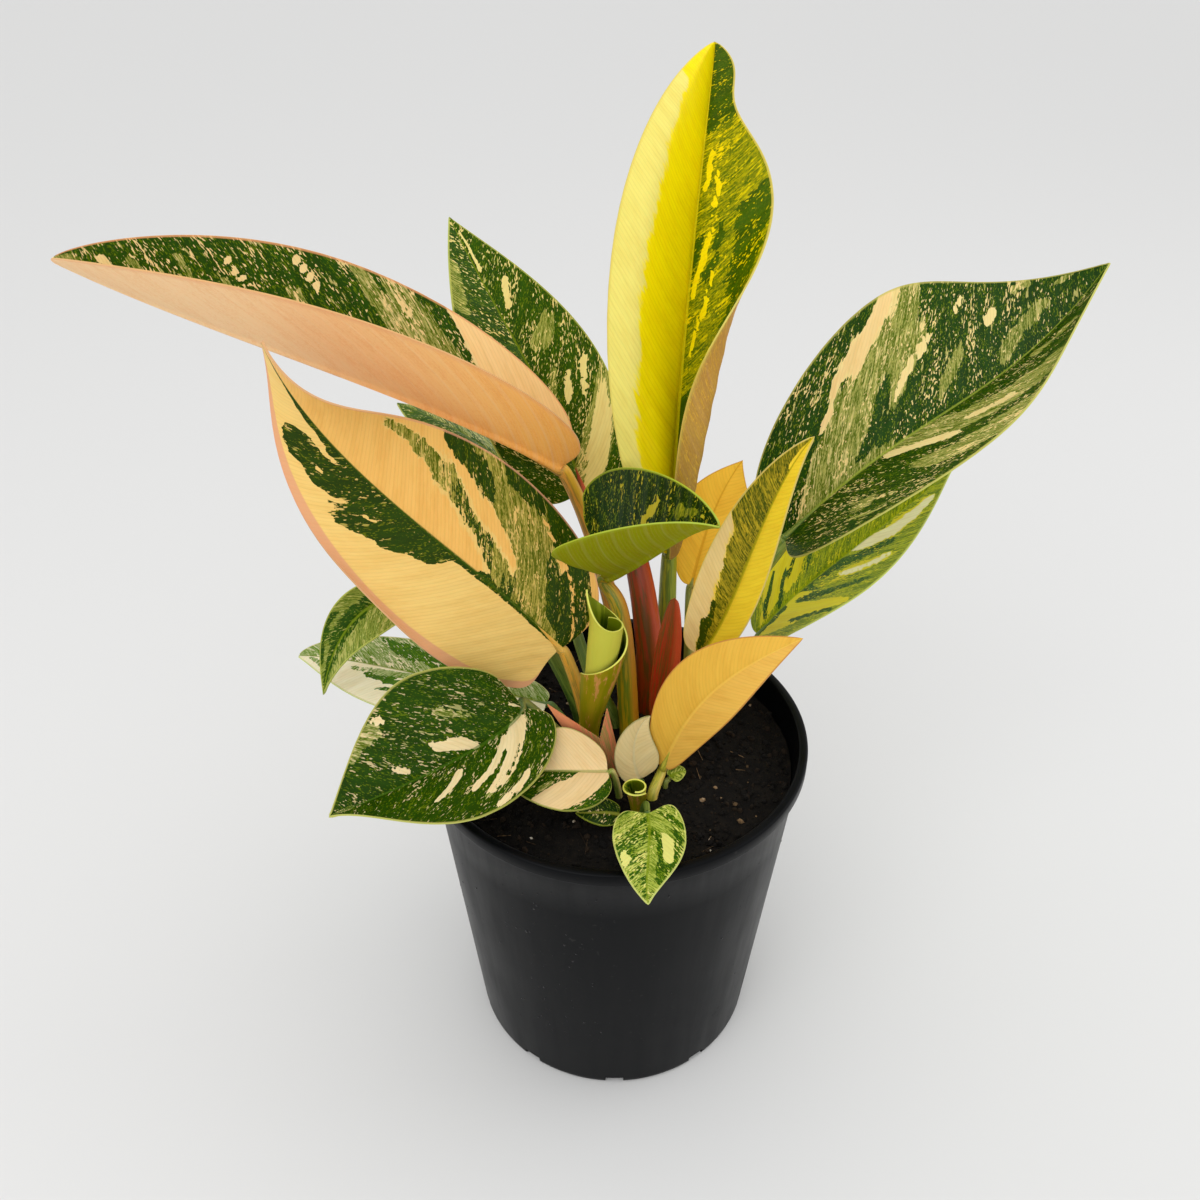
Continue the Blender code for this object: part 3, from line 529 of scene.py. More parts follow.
# Each stalk's colours are its body, its stripe, and a lighter one that is painted light on its side towards
# +X.
STALKS = [
    Stalk("stalk_tall", ((20.5, 40), (20, 40.5, 156)), (3.9, 2.2),
          ((150, 160, 40), (96, 120, 40), (150, 160, 40))),
    Stalk("stalk_left_long", ((4, 22.5), (4, 25, 145), (-4.5, 35, 182), (-11.5, 38.5, 205)), (3.2, 2.2),
          ((214, 150, 60), (150, 120, 50), ORANGE), "stalk_orange"),
    Stalk("stalk_left_cream", ((-10, 12.5), (-13.5, 11.5, 145)), (2.6, 1.8),
          ((226, 164, 60), (170, 140, 60), (236, 190, 90)), "stalk_orange"),
    Stalk("stalk_back", ((13, 27), (13, 29, 151), (9, 35, 180), (3, 46, 195)), (5.1, 2.4),
          ((146, 54, 14), (96, 64, 14), (196, 74, 26)), "stalk_red"),
    Stalk("stalk_back_left", ((0.5, 16.5), (-3, 15, 136), (-9, 17, 147), (-20, 34, 180)), (2.4, 1.6),
          ((86, 116, 40), (140, 160, 80), GREEN_STALK)),
    Stalk("stalk_centre", ((5.5, 11.5), (3.5, 15.5, 157), (1, 19, 178)), (3.8, 1.8),
          ((176, 146, 20), (104, 120, 16), (186, 124, 20)), "stalk_olive"),
    Stalk("stalk_right_big", ((33, 39), (39, 41, 150)), (3.8, 2.3),
          ((140, 156, 60), (90, 120, 44), (160, 160, 80))),
    Stalk("stalk_right_low", ((38, 30), (42, 34, 133)), (2.6, 1.7),
          ((110, 136, 50), (80, 110, 40), (120, 140, 60))),
    Stalk("stalk_right_narrow", ((24, 15), (26, 14, 145)), (2.4, 1.6),
          ((150, 150, 60), (110, 120, 50), (190, 170, 60))),
    Stalk("stalk_right_orange", ((29, 29), (28.5, 36, 152)), (2.0, 1.3),
          ((150, 150, 60), (110, 120, 50), (200, 160, 70))),
    Stalk("stalk_left_hooked", ((-13, 20), (-18, 19.5, 143), (-29, 20, 167), (-46, 19, 185)), (3.1, 1.4),
          ((110, 134, 52), (70, 96, 36), (120, 140, 60))),
    Stalk("stalk_left_low", ((-16.5, 11),), (1.6, 1.1),
          ((100, 130, 60), (80, 110, 50), (120, 150, 80))),
    Stalk("stalk_left_front", ((-12, -7), (-18, -8, 138)), (2.2, 1.4),
          ((90, 110, 40), (60, 84, 30), (130, 130, 60))),
    Stalk("stalk_front_cream", ((1, -22),), (1.3, 0.9),
          ((150, 160, 70), (110, 130, 50), (190, 180, 110))),
    Stalk("stalk_front_orange", ((13, -22.5),), (2.0, 1.5),
          ((190, 180, 60), (150, 150, 50), (220, 190, 90))),
    Stalk("stalk_front_pale", ((9, -18.5),), (1.2, 0.8),
          ((70, 90, 36), (50, 70, 30), (90, 110, 50))),
    Stalk("stalk_front_heart", ((9.3, -31.8), (10, -36, 134)), (1.3, 0.8),
          ((100, 126, 44), (70, 100, 36), (130, 150, 70))),
    Stalk("stalk_front_small", ((4, -33),), (1.1, 0.7),
          ((110, 130, 50), (80, 100, 40), (140, 150, 60))),
    Stalk("stalk_bud", ((17.8, -17),), (1.1, 0.7),
          ((130, 140, 60), (100, 110, 50), (150, 150, 80))),
]

ROLLS = [
    Roll("rolled_leaf_tall", ((-10, 3, 115), (-9, 3, 139), (-5, 0, 166), (-2, -1, 200)), (3.6, 8.3),
         190, 1.72, 0.57, (0.64, 1.0, 0.86), 0.52, 60, 150),
    Roll("rolled_leaf_small", ((7.5, -26.5, 115), (7.5, -26.5, 123), (7.3, -28, 131), (6.5, -32, 139.5)),
         (2.8, 4.4), 320, -1.17, 0.2, (0.86, 1.0, 0.9), 0.35, 36, 90),
]

SHEATH_RED = Leaf("sheath_red", ((16, 15.5, 125), (18, 14, 147), (19.5, 13.5, 166), (20.5, 14, 185)),
                  (-100, 10), (5.2, 5.2), (20, 20), (15, 15), peak=0.45, tip_power=0.45,
                  base_power=0.45, lobe=(0, 0), rows=8)
SHEATH_PINK_FOOT = (-1, -12, 124.8)
SHEATH_PINK_HALF_WIDTH = 4
SHEATH_PINK_BOW = 1.5
SHEATH_PINK_SAG = 2
SHEATH_PINK_LEFT_TIP = (-24, -12, 158)
SHEATH_PINK_FORK = (-5.5, -12, 142.5)
SHEATH_PINK_RIGHT_TIP = (-3, -7, 152)


# Values a user may change, one group for each kind of piece

class PotValues(bpy.types.PropertyGroup):
    colour: bpy.props.FloatVectorProperty(
        name="Plastic colour", description="Colour of the moulded pot", subtype="COLOR", size=3,
        min=0, max=1, default=(0.0012, 0.0015, 0.002))
    gloss: bpy.props.FloatProperty(
        name="Roughness", description="Roughness of the pot's outer wall", subtype="FACTOR",
        min=0, max=1, default=0.36)
    droplets: bpy.props.IntProperty(
        name="Water drops", description="Number of small drops on the pot's wall", min=0, default=130)


class SoilValues(bpy.types.PropertyGroup):
    colour: bpy.props.FloatVectorProperty(
        name="Mix colour", description="Main colour of the potting mix", subtype="COLOR", size=3,
        min=0, max=1, default=(0.0055, 0.005, 0.0045))
    grains: bpy.props.IntProperty(
        name="Grains", description="Number of loose crumbs on the mix", min=0, default=2600)
    roughness: bpy.props.FloatProperty(
        name="Height of bumps", description="Unevenness of the mix's surface", subtype="DISTANCE",
        unit="LENGTH", min=0, default=1.3 * MM)


class LeafValues(bpy.types.PropertyGroup):
    thickness: bpy.props.FloatProperty(
        name="Blade thickness", description="Thickness of a blade away from its rib",
        subtype="DISTANCE", unit="LENGTH", min=0.0002, default=0.55 * MM)
    gloss: bpy.props.FloatProperty(
        name="Roughness", description="Roughness of a blade's upper face", subtype="FACTOR",
        min=0, max=1, default=0.4)
    vein_depth: bpy.props.FloatProperty(
        name="Vein depth", description="Depth of the fine veins", subtype="DISTANCE",
        unit="LENGTH", min=0, default=0.07 * MM)
    quilt: bpy.props.FloatProperty(
        name="Quilting", description="Depth of the soft waves between side veins, in mm", min=0,
        default=QUILT_DEPTH)


class StageValues(bpy.types.PropertyGroup):
    floor: bpy.props.FloatVectorProperty(
        name="Floor colour", description="Colour of the plain floor", subtype="COLOR", size=3,
        min=0, max=1, default=(0.69, 0.69, 0.685))
    light: bpy.props.FloatProperty(
        name="Light", description="Strength of the soft light all round", min=0, default=1.0)


# Shader maths and materials

class Value:
    """A socket in a node tree whose operators add Math nodes, so shader maths reads plainly."""

    def __init__(self, finish, socket):
        self.finish = finish
        self.socket = socket

    def maths(self, operation, *operands):
        return self.finish.node("Math", {"operation": operation}, dict(enumerate(operands)))

    def __add__(self, other):
        return self.maths("ADD", self, other)

    __radd__ = __add__

    def __sub__(self, other):
        return self.maths("SUBTRACT", self, other)

    def __rsub__(self, other):
        return self.maths("SUBTRACT", other, self)

    def __mul__(self, other):
        return self.maths("MULTIPLY", self, other)

    __rmul__ = __mul__

    def __truediv__(self, other):
        return self.maths("DIVIDE", self, other)

    def __rtruediv__(self, other):
        return self.maths("DIVIDE", other, self)

    def __pow__(self, other):
        return self.maths("POWER", self, other)

    def __abs__(self):
        return self.maths("ABSOLUTE", self)

    def __gt__(self, other):
        return self.maths("GREATER_THAN", self, other)

    def sine(self):
        return self.maths("SINE", self)

    def step(self, low, high):
        """0 below low, 1 above high and smooth between."""
        return self.finish.node("MapRange", {"interpolation_type": "SMOOTHSTEP"},
                                {"Value": self, "From Min": low, "From Max": high})

    def parts(self):
        """The three numbers of a vector."""
        split = self.finish.node("SeparateXYZ", {}, {0: self}).socket.node
        return [Value(self.finish, socket) for socket in split.outputs]


class Finish:
    """A material under construction. node() adds every node, and feed() links or sets its sockets."""

    def __init__(self, name, **constants):
        self.material = bpy.data.materials.new(name)
        self.material.use_nodes = True
        self.tree = self.material.node_tree
        self.shader = self.tree.nodes["Principled BSDF"]
        for socket, value in constants.items():
            self.feed(self.shader.inputs[socket.replace("_", " ")], value)

    def node(self, kind, settings, sockets, output=0):
        made = self.tree.nodes.new("ShaderNode" + kind)
        for name, value in settings.items():
            if name == "stops":
                ramp = made.color_ramp.elements
                while len(ramp) < len(value):
                    ramp.new(0.5)
                for stop, (place, colour) in zip(ramp, value):
                    stop.position = place
                    stop.color = (*colour, 1)
            else:
                setattr(made, name, value)
        for name, value in sockets.items():
            self.feed(made.inputs[name], value)
        return Value(self, made.outputs[output])

    def feed(self, socket, value):
        if isinstance(value, Value):
            self.tree.links.new(value.socket, socket)
        elif isinstance(value, tuple) and len(socket.default_value) == 4:
            socket.default_value = (*value[:3], 1)
        else:
            socket.default_value = value

    def surface(self, **sockets):
        for socket, value in sockets.items():
            self.feed(self.shader.inputs[socket.replace("_", " ")], value)
        return self.material

    def attribute(self, name):
        return self.node("Attribute", {"attribute_name": name}, {}, "Vector")

    def object_place(self):
        return self.node("TexCoord", {}, {}, "Object")

    def scaled(self, vector, scale, shift=(0, 0, 0)):
        return self.node("VectorMath", {"operation": "MULTIPLY_ADD"}, {0: vector, 1: scale, 2: shift})

    def noise(self, vector, scale=1, detail=2, roughness=0.5):
        return self.node("TexNoise", {}, {"Vector": vector, "Scale": scale, "Detail": detail,
                                          "Roughness": roughness})

    def vector(self, x, y, z):
        return self.node("CombineXYZ", {}, {0: x, 1: y, 2: z})

    def mix(self, share, first, second):
        return self.node("Mix", {"data_type": "RGBA"}, {0: share, 6: first, 7: second}, 2)

    def multiply(self, share, first, second):
        return self.node("Mix", {"data_type": "RGBA", "blend_type": "MULTIPLY"},
                         {0: share, 6: first, 7: second}, 2)

    def bump(self, height, distance):
        return self.node("Bump", {}, {"Strength": 1, "Distance": distance, "Height": height})


def blended(share, first, second):
    return tuple(a + (b - a) * share for a, b in zip(first, second))


class Marbling:
    """The noises of a blade in vein coordinates, and the flecks and specks that they break its paint into.

    Every noise runs from about -0.5 to 0.5. big and other are clouds, fleck, mote and speck get
    smaller in turn, and scratch is drawn out along the veins.
    """

    def __init__(self, finish, seed):
        self.finish = finish
        self.along, self.across, self.half = finish.attribute("vein").parts()
        side = (self.across > 0) * 9
        self.spot = finish.vector(self.along, self.across + side, seed)
        self.big = self.spots(1.8, 0.7, 0, 3, 0.62)
        self.other = self.spots(2.4, 0.8, 7, 3, 0.62)
        self.fleck = self.spots(8, 3.2, 3, 2, 0.6)
        self.mote = self.spots(12, 8, 4, 1, 0.5)
        self.speck = self.spots(22, 14, 5, 1, 0.5)
        self.scratch = self.spots(17, 2.2, 6, 2, 0.6)

    def spots(self, along, across, shift, detail, roughness):
        """Noise with so many spots to a centimetre along the rib and across it."""
        place = self.finish.scaled(self.spot, (along, across, 1), (0, 0, shift))
        return self.finish.noise(place, detail=detail, roughness=roughness) - 0.5

    def light(self, look, tint):
        """The light zones, from the look's light colour to its warm one, with soft stains."""
        mix = self.finish.mix
        light = mix((tint + self.fleck * 0.8).step(0.35, 0.65), look.light, look.warm)
        stained = self.finish.multiply(1, light, (0.9, 0.83, 0.7))
        return mix((self.big + self.fleck * 0.5).step(-0.15, 0.25) * 0.6, light, stained)

    def green(self, look, mid_at):
        """The green zones: dark ground with specks and islands, and streaked middle green."""
        mix = self.finish.mix
        other, fleck, speck, scratch = self.other, self.fleck, self.speck, self.scratch
        islands = (fleck + other * 0.6 + mid_at * 0.05).step(0.18, 0.2) * look.speck
        specks = (speck + fleck * 0.6 + mid_at * 0.05).step(0.09, 0.13) * look.speck
        dark = mix((other * 2 + 0.5).step(0.25, 0.75), look.dark, blended(0.25, look.dark, (0, 0, 0)))
        ground = mix(specks * 0.6, dark, look.middle)
        ground = mix(islands * 0.9, ground, blended(0.45, look.middle, look.light))
        lively = mix((scratch * 2.2 + speck * 1.4 + other + 0.5).step(0.1, 0.9),
                     blended(0.65, look.middle, look.dark), blended(0.3, look.middle, look.light))
        streaks = (fleck + scratch * 0.8 + self.big * 0.5).step(0.1, 0.17) * look.streaks
        lively = mix(streaks, lively, blended(0.7, look.middle, look.light))
        return mix((mid_at + other * 1.7 + scratch * 0.5 + speck * 0.3).step(0.44, 0.52), ground, lively)

    def paint(self, look):
        """The whole upper face, from the levels that the brush strokes left on it."""
        pale_at, mid_at, tint = self.finish.attribute("paint").parts()
        light = self.light(look, tint)
        motes = (self.mote + self.big * 0.8 + self.speck * 0.3 + pale_at * 0.08).step(0.15, 0.165)
        green = self.finish.mix(motes * look.speck * 0.95, self.green(look, mid_at), light)
        pale = pale_at + self.big * 1.7 + self.fleck * (1.1 * look.fleck) + self.mote * 0.4
        return self.finish.mix(pale.step(0.45, 0.49), green, light)

    def below(self, look, u, v, fine, main):
        """The under face: plainer, blushed in grains, with pale side veins."""
        mix = self.finish.mix
        blush = (self.spots(22, 20, 9, 2, 0.6) + self.big * 0.8 + self.scratch * 0.5).step(-0.05, 0.2)
        colour = mix(u.step(0.05, 0.7), look.under_base, look.under)
        colour = mix(blush * 0.6, colour, self.finish.multiply(1, colour, (0.92, 0.76, 0.64)))
        colour = mix(main * 0.16 + fine * 0.1, colour, blended(0.25, look.under, (1, 0.9, 0.6)))
        return mix(abs(v).step(0.93, 1.0) * 0.5, colour, look.margin)


def blade_finish(name, look, seed, under, values):
    """Marbled leaf colours with fine veins, side veins, a midrib and a thin margin."""
    finish = Finish(name, Roughness=values.gloss + 0.15 * under, Specular_IOR_Level=0.1,
                    Subsurface_Weight=0.08, Subsurface_Scale=0.002)
    marbling = Marbling(finish, seed)
    along, across = marbling.along, marbling.across
    u, v, _ = finish.attribute("place").parts()
    fine = ((along * 38 + marbling.fleck * 2).sine() * 0.5 + 0.5) ** 5
    main = ((along * (2 * math.pi * 10 / QUILT_SPACING)).sine() * 0.5 + 0.5) ** 10
    colour = marbling.paint(look)
    colour = finish.multiply(fine * 0.08 + main * 0.04, colour, blended(0.6, look.dark, look.middle))
    on_rib = 1 - (abs(across) / (0.07 - u * 0.05)).step(0.5, 1.3)
    colour = finish.mix(on_rib * 0.7, colour, look.rib)
    at_margin = (abs(v) + 0.03 / marbling.half).step(0.985, 1.0)
    colour = finish.mix(at_margin * 0.7, colour, look.margin)
    if look.turned_from < 1:
        turned = (v - look.turned_from).step(0, 0.02)
        colour = finish.mix(turned * 0.85, colour, look.margin)
    height = 1 - fine * 0.3 - main * 0.25 - on_rib
    if under:
        colour = finish.mix(look.under_share, marbling.below(look, u, v, fine, main), colour)
        height = fine * 0.35 + main * 0.65
    return finish.surface(Base_Color=colour, Normal=finish.bump(height, values.vein_depth))


def plain_finish(name, colour, roughness=0.5):
    finish = Finish(name)
    place = finish.object_place()
    mottle = finish.noise(place, 160, 3)
    colour = finish.mix(mottle, colour, tuple(min(1, c * 1.25) for c in colour))
    return finish.surface(Base_Color=colour, Roughness=(mottle - 0.5) * 0.1 + roughness,
                          Normal=finish.bump(mottle, 0.0001))


def stalk_finish(stalk, seed):
    """Lengthwise stripes, and painted light: a lighter third colour on the side that faces +X."""
    body, stripe, painted_lit_side = stalk.colours
    finish = Finish(stalk.name, Roughness=0.42, Subsurface_Weight=0.06, Subsurface_Scale=0.002)
    u, v, right = finish.attribute("place").parts()
    run = finish.vector(u * 0.9, (v * math.pi).sine() * 1.3, v * 1.6 + seed)
    long = finish.noise(finish.scaled(run, (1, 3.2, 3.2)), detail=3, roughness=0.6)
    thin = finish.noise(finish.scaled(run, (5, 12, 12)), detail=2)
    colour = finish.mix((long * 1.8 - 0.4 + (thin - 0.5)).step(0.35, 0.65), body, stripe)
    # Painted light: the third colour lightens the side that faces +X.
    colour = finish.mix((right + (long - 0.5)).step(0.1, 0.8), colour, painted_lit_side)
    height = long + thin * 0.5
    return finish.surface(Base_Color=colour, Normal=finish.bump(height, 0.0002))


def pot_finish(values):
    finish = Finish("pot_plastic", Specular_IOR_Level=0.08)
    place = finish.object_place()
    x, y, z = place.parts()
    streak = finish.noise(finish.vector(x * 160, y * 160, z * 9), detail=3, roughness=0.6)
    dust = finish.noise(place, 420, 2)
    film = finish.noise(place, 22, 4, 0.6)
    colour = finish.mix((streak * 1.4 - 0.35) * 0.5 + (film - 0.5) * 0.5, tuple(values.colour),
                        tuple(c * 2.3 for c in values.colour))
    specks = (dust + (film - 0.5) * 0.5).step(0.74, 0.78)
    colour = finish.mix(specks * 0.3, colour, (0.06, 0.058, 0.055))
    rough = (streak - 0.5) * 0.22 + (film - 0.5) * 0.2 + specks * 0.2 + values.gloss
    return finish.surface(Base_Color=colour, Roughness=rough,
                          Normal=finish.bump(streak * 0.6 + dust * 0.15, 0.00006))


def soil_finish(values):
    finish = Finish("potting_mix", Roughness=0.95, Specular_IOR_Level=0.1)
    place = finish.object_place()
    coarse = finish.noise(place, 240, 4, 0.7)
    fine = finish.noise(place, 1300, 3, 0.6)
    colour = finish.mix(coarse.step(0.35, 0.7), tuple(values.colour), (0.011, 0.009, 0.007))
    colour = finish.mix((fine * 0.7 + coarse * 0.3).step(0.58, 0.68) * 0.5, colour, (0.04, 0.026, 0.015))
    return finish.surface(Base_Color=colour, Normal=finish.bump(coarse + fine * 0.5, 0.0008))


def grain_finish():
    """Crumbs take their colour from the tone each one was given: black bark to pale stone."""
    finish = Finish("mix_grains", Roughness=0.9, Specular_IOR_Level=0.15)
    tone, _, _ = finish.attribute("tone").parts()
    place = finish.object_place()
    fine = finish.noise(place, 900, 3, 0.6)
    colour = finish.node("ValToRGB", {"stops": (
        (0, (0.004, 0.0035, 0.003)), (0.6, (0.009, 0.0075, 0.006)), (0.85, (0.022, 0.014, 0.008)),
        (0.93, (0.24, 0.15, 0.075)), (1.0, (0.62, 0.56, 0.46)))}, {0: tone + (fine - 0.5) * 0.12})
    return finish.surface(Base_Color=colour, Normal=finish.bump(fine, 0.0004))


# Shapes

def ease(x):
    x = np.clip(x, 0, 1)
    return x * x * (3 - 2 * x)


def unit(vectors):
    return vectors / np.linalg.norm(vectors, axis=-1, keepdims=True)


def curve_through(points, u):
    """The cubic that passes through four points at u = 0, 1/3, 2/3 and 1."""
    a, b, c, d = (np.array(point, float) for point in points)
    u = np.asarray(u, float)[..., None]
    near = 1 - 3 * u
    far = 2 - 3 * u
    return near * far * (1 - u) / 2 * a + 4.5 * u * (1 - u) * (far * b - near * c) + u * near * far / 2 * d


def rib_frames(leaf):
    """Stations along the rib: place, direction, side (left of the upper face) and face normal."""
    u = np.linspace(0, 1, RIB_STATIONS + 1)
    rib = curve_through(leaf.rib, u)
    along = unit(np.gradient(rib, axis=0))
    heading, rise = np.radians(leaf.face)
    face = np.array([np.cos(rise) * np.cos(heading), np.cos(rise) * np.sin(heading), np.sin(rise)])
    normal = unit(face - along * (along @ face)[:, None])
    side = np.cross(normal, along)
    turn = np.radians(leaf.twist) * (u - TWIST_CENTRE)[:, None]
    turned_side = side * np.cos(turn) + normal * np.sin(turn)
    turned_normal = normal * np.cos(turn) - side * np.sin(turn)
    return rib, along, turned_side, turned_normal


def half_widths(leaf, u, left):
    swell = np.sin(np.pi * np.clip(u, 0, 1) ** (math.log(0.5) / math.log(leaf.peak)))
    power = np.where(u < leaf.peak, leaf.base_power, leaf.tip_power)
    half = np.where(left, *leaf.width) * np.maximum(swell, 1e-9) ** power
    at, spread, share = leaf.nick
    bite = share * np.exp(-((u - at) / spread) ** 2)
    return half * np.where(left, 1, 1 - bite)


def crease_turn(leaf, u, s, left):
    turn = 0
    for is_side, (angle, start, first, last) in zip((left, ~left), leaf.crease):
        window = ease((u - first) / CREASE_FADE + (first <= 0)) * ease((last - u) / CREASE_FADE + (last >= 1))
        turn = turn + is_side * angle * window * ease((s - start) / (1 - start) * CREASE_SHARPNESS)
    return turn


def cross_section(leaf, u, out, left):
    """How far across and how high the face lies, in half widths, and its slope in radians."""
    across = np.zeros_like(out)
    lift = np.zeros_like(out)
    for step in range(CROSS_STEPS):
        s = (step + 0.5) / CROSS_STEPS * out
        angle = np.where(left, *leaf.fold) + np.where(left, *leaf.curl) * s + crease_turn(leaf, u, s, left)
        slope = np.radians(angle)
        across += np.cos(slope) * out / CROSS_STEPS
        lift += np.sin(slope) * out / CROSS_STEPS
    return across, lift, slope


def rib_places(leaf, u, out, left):
    """Where along the rib the grid's points lie: rows sweep from the rib to the lobes and the tip."""
    margin_at = u - np.where(left, *leaf.lobe) * (u / LOBE_AT) * np.exp(1 - u / LOBE_AT)
    rib_at = u ** RIB_PACE
    return rib_at + (margin_at - rib_at) * out ** ROW_SWEEP


def relief(u, reach, half, start, length, quilt):
    """Height in mm of the soft waves between side veins, less the groove over the midrib."""
    fade = ease(reach / QUILT_FROM_RIB) * ease((half - reach) / QUILT_FROM_MARGIN)
    fade = fade * ease(u / QUILT_FROM_BASE) * ease((1 - u) / QUILT_FROM_TIP)
    wave = quilt * np.cos(2 * np.pi * start / QUILT_SPACING) * fade
    depth = GROOVE_DEPTH * min(1, length / FULL_GROOVE_LENGTH)
    return wave - depth * np.exp(-(reach / GROOVE_WIDTH) ** 2) * ease((1 - u) / GROOVE_FADE)


def blade(leaf, u, v, quilt=0):
    """A blade's upper face in mm, and its vein coordinates, as a dictionary of arrays."""
    rib, along, side, normal = rib_frames(leaf)
    length = np.linalg.norm(np.diff(rib, axis=0), axis=1).sum()
    out = np.abs(v)
    left = v >= 0
    half = half_widths(leaf, u, left)
    at = rib_places(leaf, u, out, left)
    across, lift, slope = cross_section(leaf, u, out, left)
    place = np.clip(at, 0, 1) * RIB_STATIONS
    station = np.minimum(place.astype(int), RIB_STATIONS - 1)
    part = (place - station)[..., None]
    centre, here_side, here_normal = (
        found[station] * (1 - part) + found[station + 1] * part for found in (rib, side, normal))
    centre = centre + along[0] * (np.minimum(at, 0) * length)[..., None]
    point = centre + here_side * (across * half * np.sign(v))[..., None]
    point = point + here_normal * (lift * half)[..., None]
    reach = out * half
    start = at * length - (VEIN_SLANT[0] * reach + VEIN_SLANT[1] * reach * out)
    face = here_normal * np.cos(slope)[..., None] - here_side * (np.sin(slope) * np.sign(v))[..., None]
    point = point + face * relief(u, reach, half, start, length, quilt)[..., None]
    return {"point": point, "start": start, "reach": reach * np.sign(v), "half": half, "length": length}


def painted(leaf, look, v, share, length, seed):
    """The painted levels over a blade: a base for each half, then its brush strokes in turn."""
    left = v >= 0
    here = np.stack([share * length, v * np.where(left, *leaf.width)], -1)
    waver = np.array([noise.noise_vector((x, y, seed))[:2] for x, y in here / WAVER_CELL])
    ragged = np.array([noise.noise((x, y, seed + 5)) for x, y in here / RAGGED_CELL])
    calm = ease(abs(here[:, 1:]) / CALM_BY_RIB) * min(1, max(leaf.width) / FULL_WAVER_WIDTH)
    here = here + calm * (waver * WAVER_REACH + np.outer(ragged, RAGGED_REACH))
    levels = np.where(left[:, None], PAINTS[look.base[0]], PAINTS[look.base[1]])
    stretch = np.array((1, BRUSH_STRETCH))
    for paint, radius, *points in look.strokes:
        line = [np.array((w * length, across * leaf.width[across < 0])) for w, across in points]
        distance = np.full(len(v), 1e9)
        for first, last in zip(line, line[1:]):
            run = (last - first) * stretch
            gap = (here - first) * stretch
            t = np.clip(gap @ run / (run @ run), 0, 1)
            distance = np.minimum(distance, np.linalg.norm(gap - t[:, None] * run, axis=1))
        soft = min(BRUSH_SOFT, 2 * radius)
        half = sum(across for _, across in points)
        cover = (ease((radius - distance) / soft + 0.5) * (half * v >= 0))[:, None]
        levels = levels + (np.array(PAINTS[paint]) - levels) * cover
    return levels


def shaped_grid(rows, columns, place):
    """A grid moved to the points that place(u, v) gives in mm, with its other arrays as layers."""
    shape = bmesh.new()
    bmesh.ops.create_grid(shape, x_segments=rows, y_segments=columns, size=1)
    flat = np.array([vert.co[:] for vert in shape.verts])
    u = np.round((flat[:, 0] + 1) / 2, 6)
    v = np.round(flat[:, 1], 6)
    points, weights, layers = place(u, v)
    for vert, point in zip(shape.verts, points * MM):
        vert.co = point
    weight = shape.verts.layers.deform.verify()
    for vert, amount in zip(shape.verts, weights):
        vert[weight][0] = amount
    for name, values in layers.items():
        layer = shape.verts.layers.float_vector.new(name)
        for vert, value in zip(shape.verts, values):
            vert[layer] = value
    bmesh.ops.remove_doubles(shape, verts=shape.verts, dist=MERGE)
    return shape


def new_piece(name, shape, *materials, smooth=True):
    mesh = bpy.data.meshes.new(name)
    shape.to_mesh(mesh)
    shape.free()
    if smooth:
        mesh.shade_smooth()
    thing = bpy.data.objects.new(name, mesh)
    bpy.context.scene.collection.objects.link(thing)
    for finish in materials:
        mesh.materials.append(finish)
    return thing


def applied(thing):
    """The object's evaluated mesh in place of its own, with its modifiers taken off."""
    view = bpy.context.evaluated_depsgraph_get()
    mesh = bpy.data.meshes.new_from_object(thing.evaluated_get(view))
    thing.modifiers.clear()
    thing.data = mesh


def sheet(name, shape, materials, thickness, rib_thickness=None):
    """A thin sheet with its own materials on its upper face, its under face and its rim."""
    thing = new_piece(name, shape, *materials)
    thing.vertex_groups.new(name="rib")
    wall = thing.modifiers.new("Wall", "SOLIDIFY")
    wall.thickness = rib_thickness or thickness
    wall.offset = -1
    wall.material_offset = 1
    wall.material_offset_rim = 2
    if rib_thickness:
        wall.vertex_group = "rib"
        wall.thickness_vertex_group = thickness / rib_thickness
    applied(thing)
    thing.data.set_sharp_from_angle(angle=SHEET_SHARP)
    return thing


def kept(thing, slot, *nodes):
    """Seats a finished piece on the part's one body, in place of the solids that it stands for."""
    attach(thing, BODY)
    if nodes:
        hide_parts(*nodes)
    return thing


def leaf_piece(leaf, look, seed, values):
    scale = min(1, leaf.rows / FULL_ROWS)
    rows = int(BLADE_ROWS * scale)
    columns = 2 * int(BLADE_COLUMNS * scale)

    def place(u, v):
        v = np.sign(v) * np.abs(v) ** CENTRE_CROWDING
        u = u ** FOOT_CROWDING
        found = blade(leaf, u, v, values.quilt)
        weight = np.exp(-(found["reach"] / RIB_WIDTH) ** 2) * (1 - 0.8 * u) * min(1, leaf.rows / 9)
        return found["point"], weight, {
            "place": np.stack([u, v, np.zeros_like(u)], -1),
            "vein": np.stack([found["start"], found["reach"], np.maximum(found["half"], 1)], -1) / 10,
            "paint": painted(leaf, look, v, found["start"] / found["length"], found["length"], seed),
        }

    materials = [blade_finish(leaf.name + "_upper", look, seed, False, values),
                 blade_finish(leaf.name + "_under", look, seed, True, values),
                 plain_finish(leaf.name + "_rim", blended(0.3, look.margin, look.middle))]
    thing = sheet(leaf.name + "_blade", shaped_grid(rows, columns, place), materials,
                  values.thickness, RIB_THICKNESS * MM)
    return kept(thing, look.slot, leaf.name)


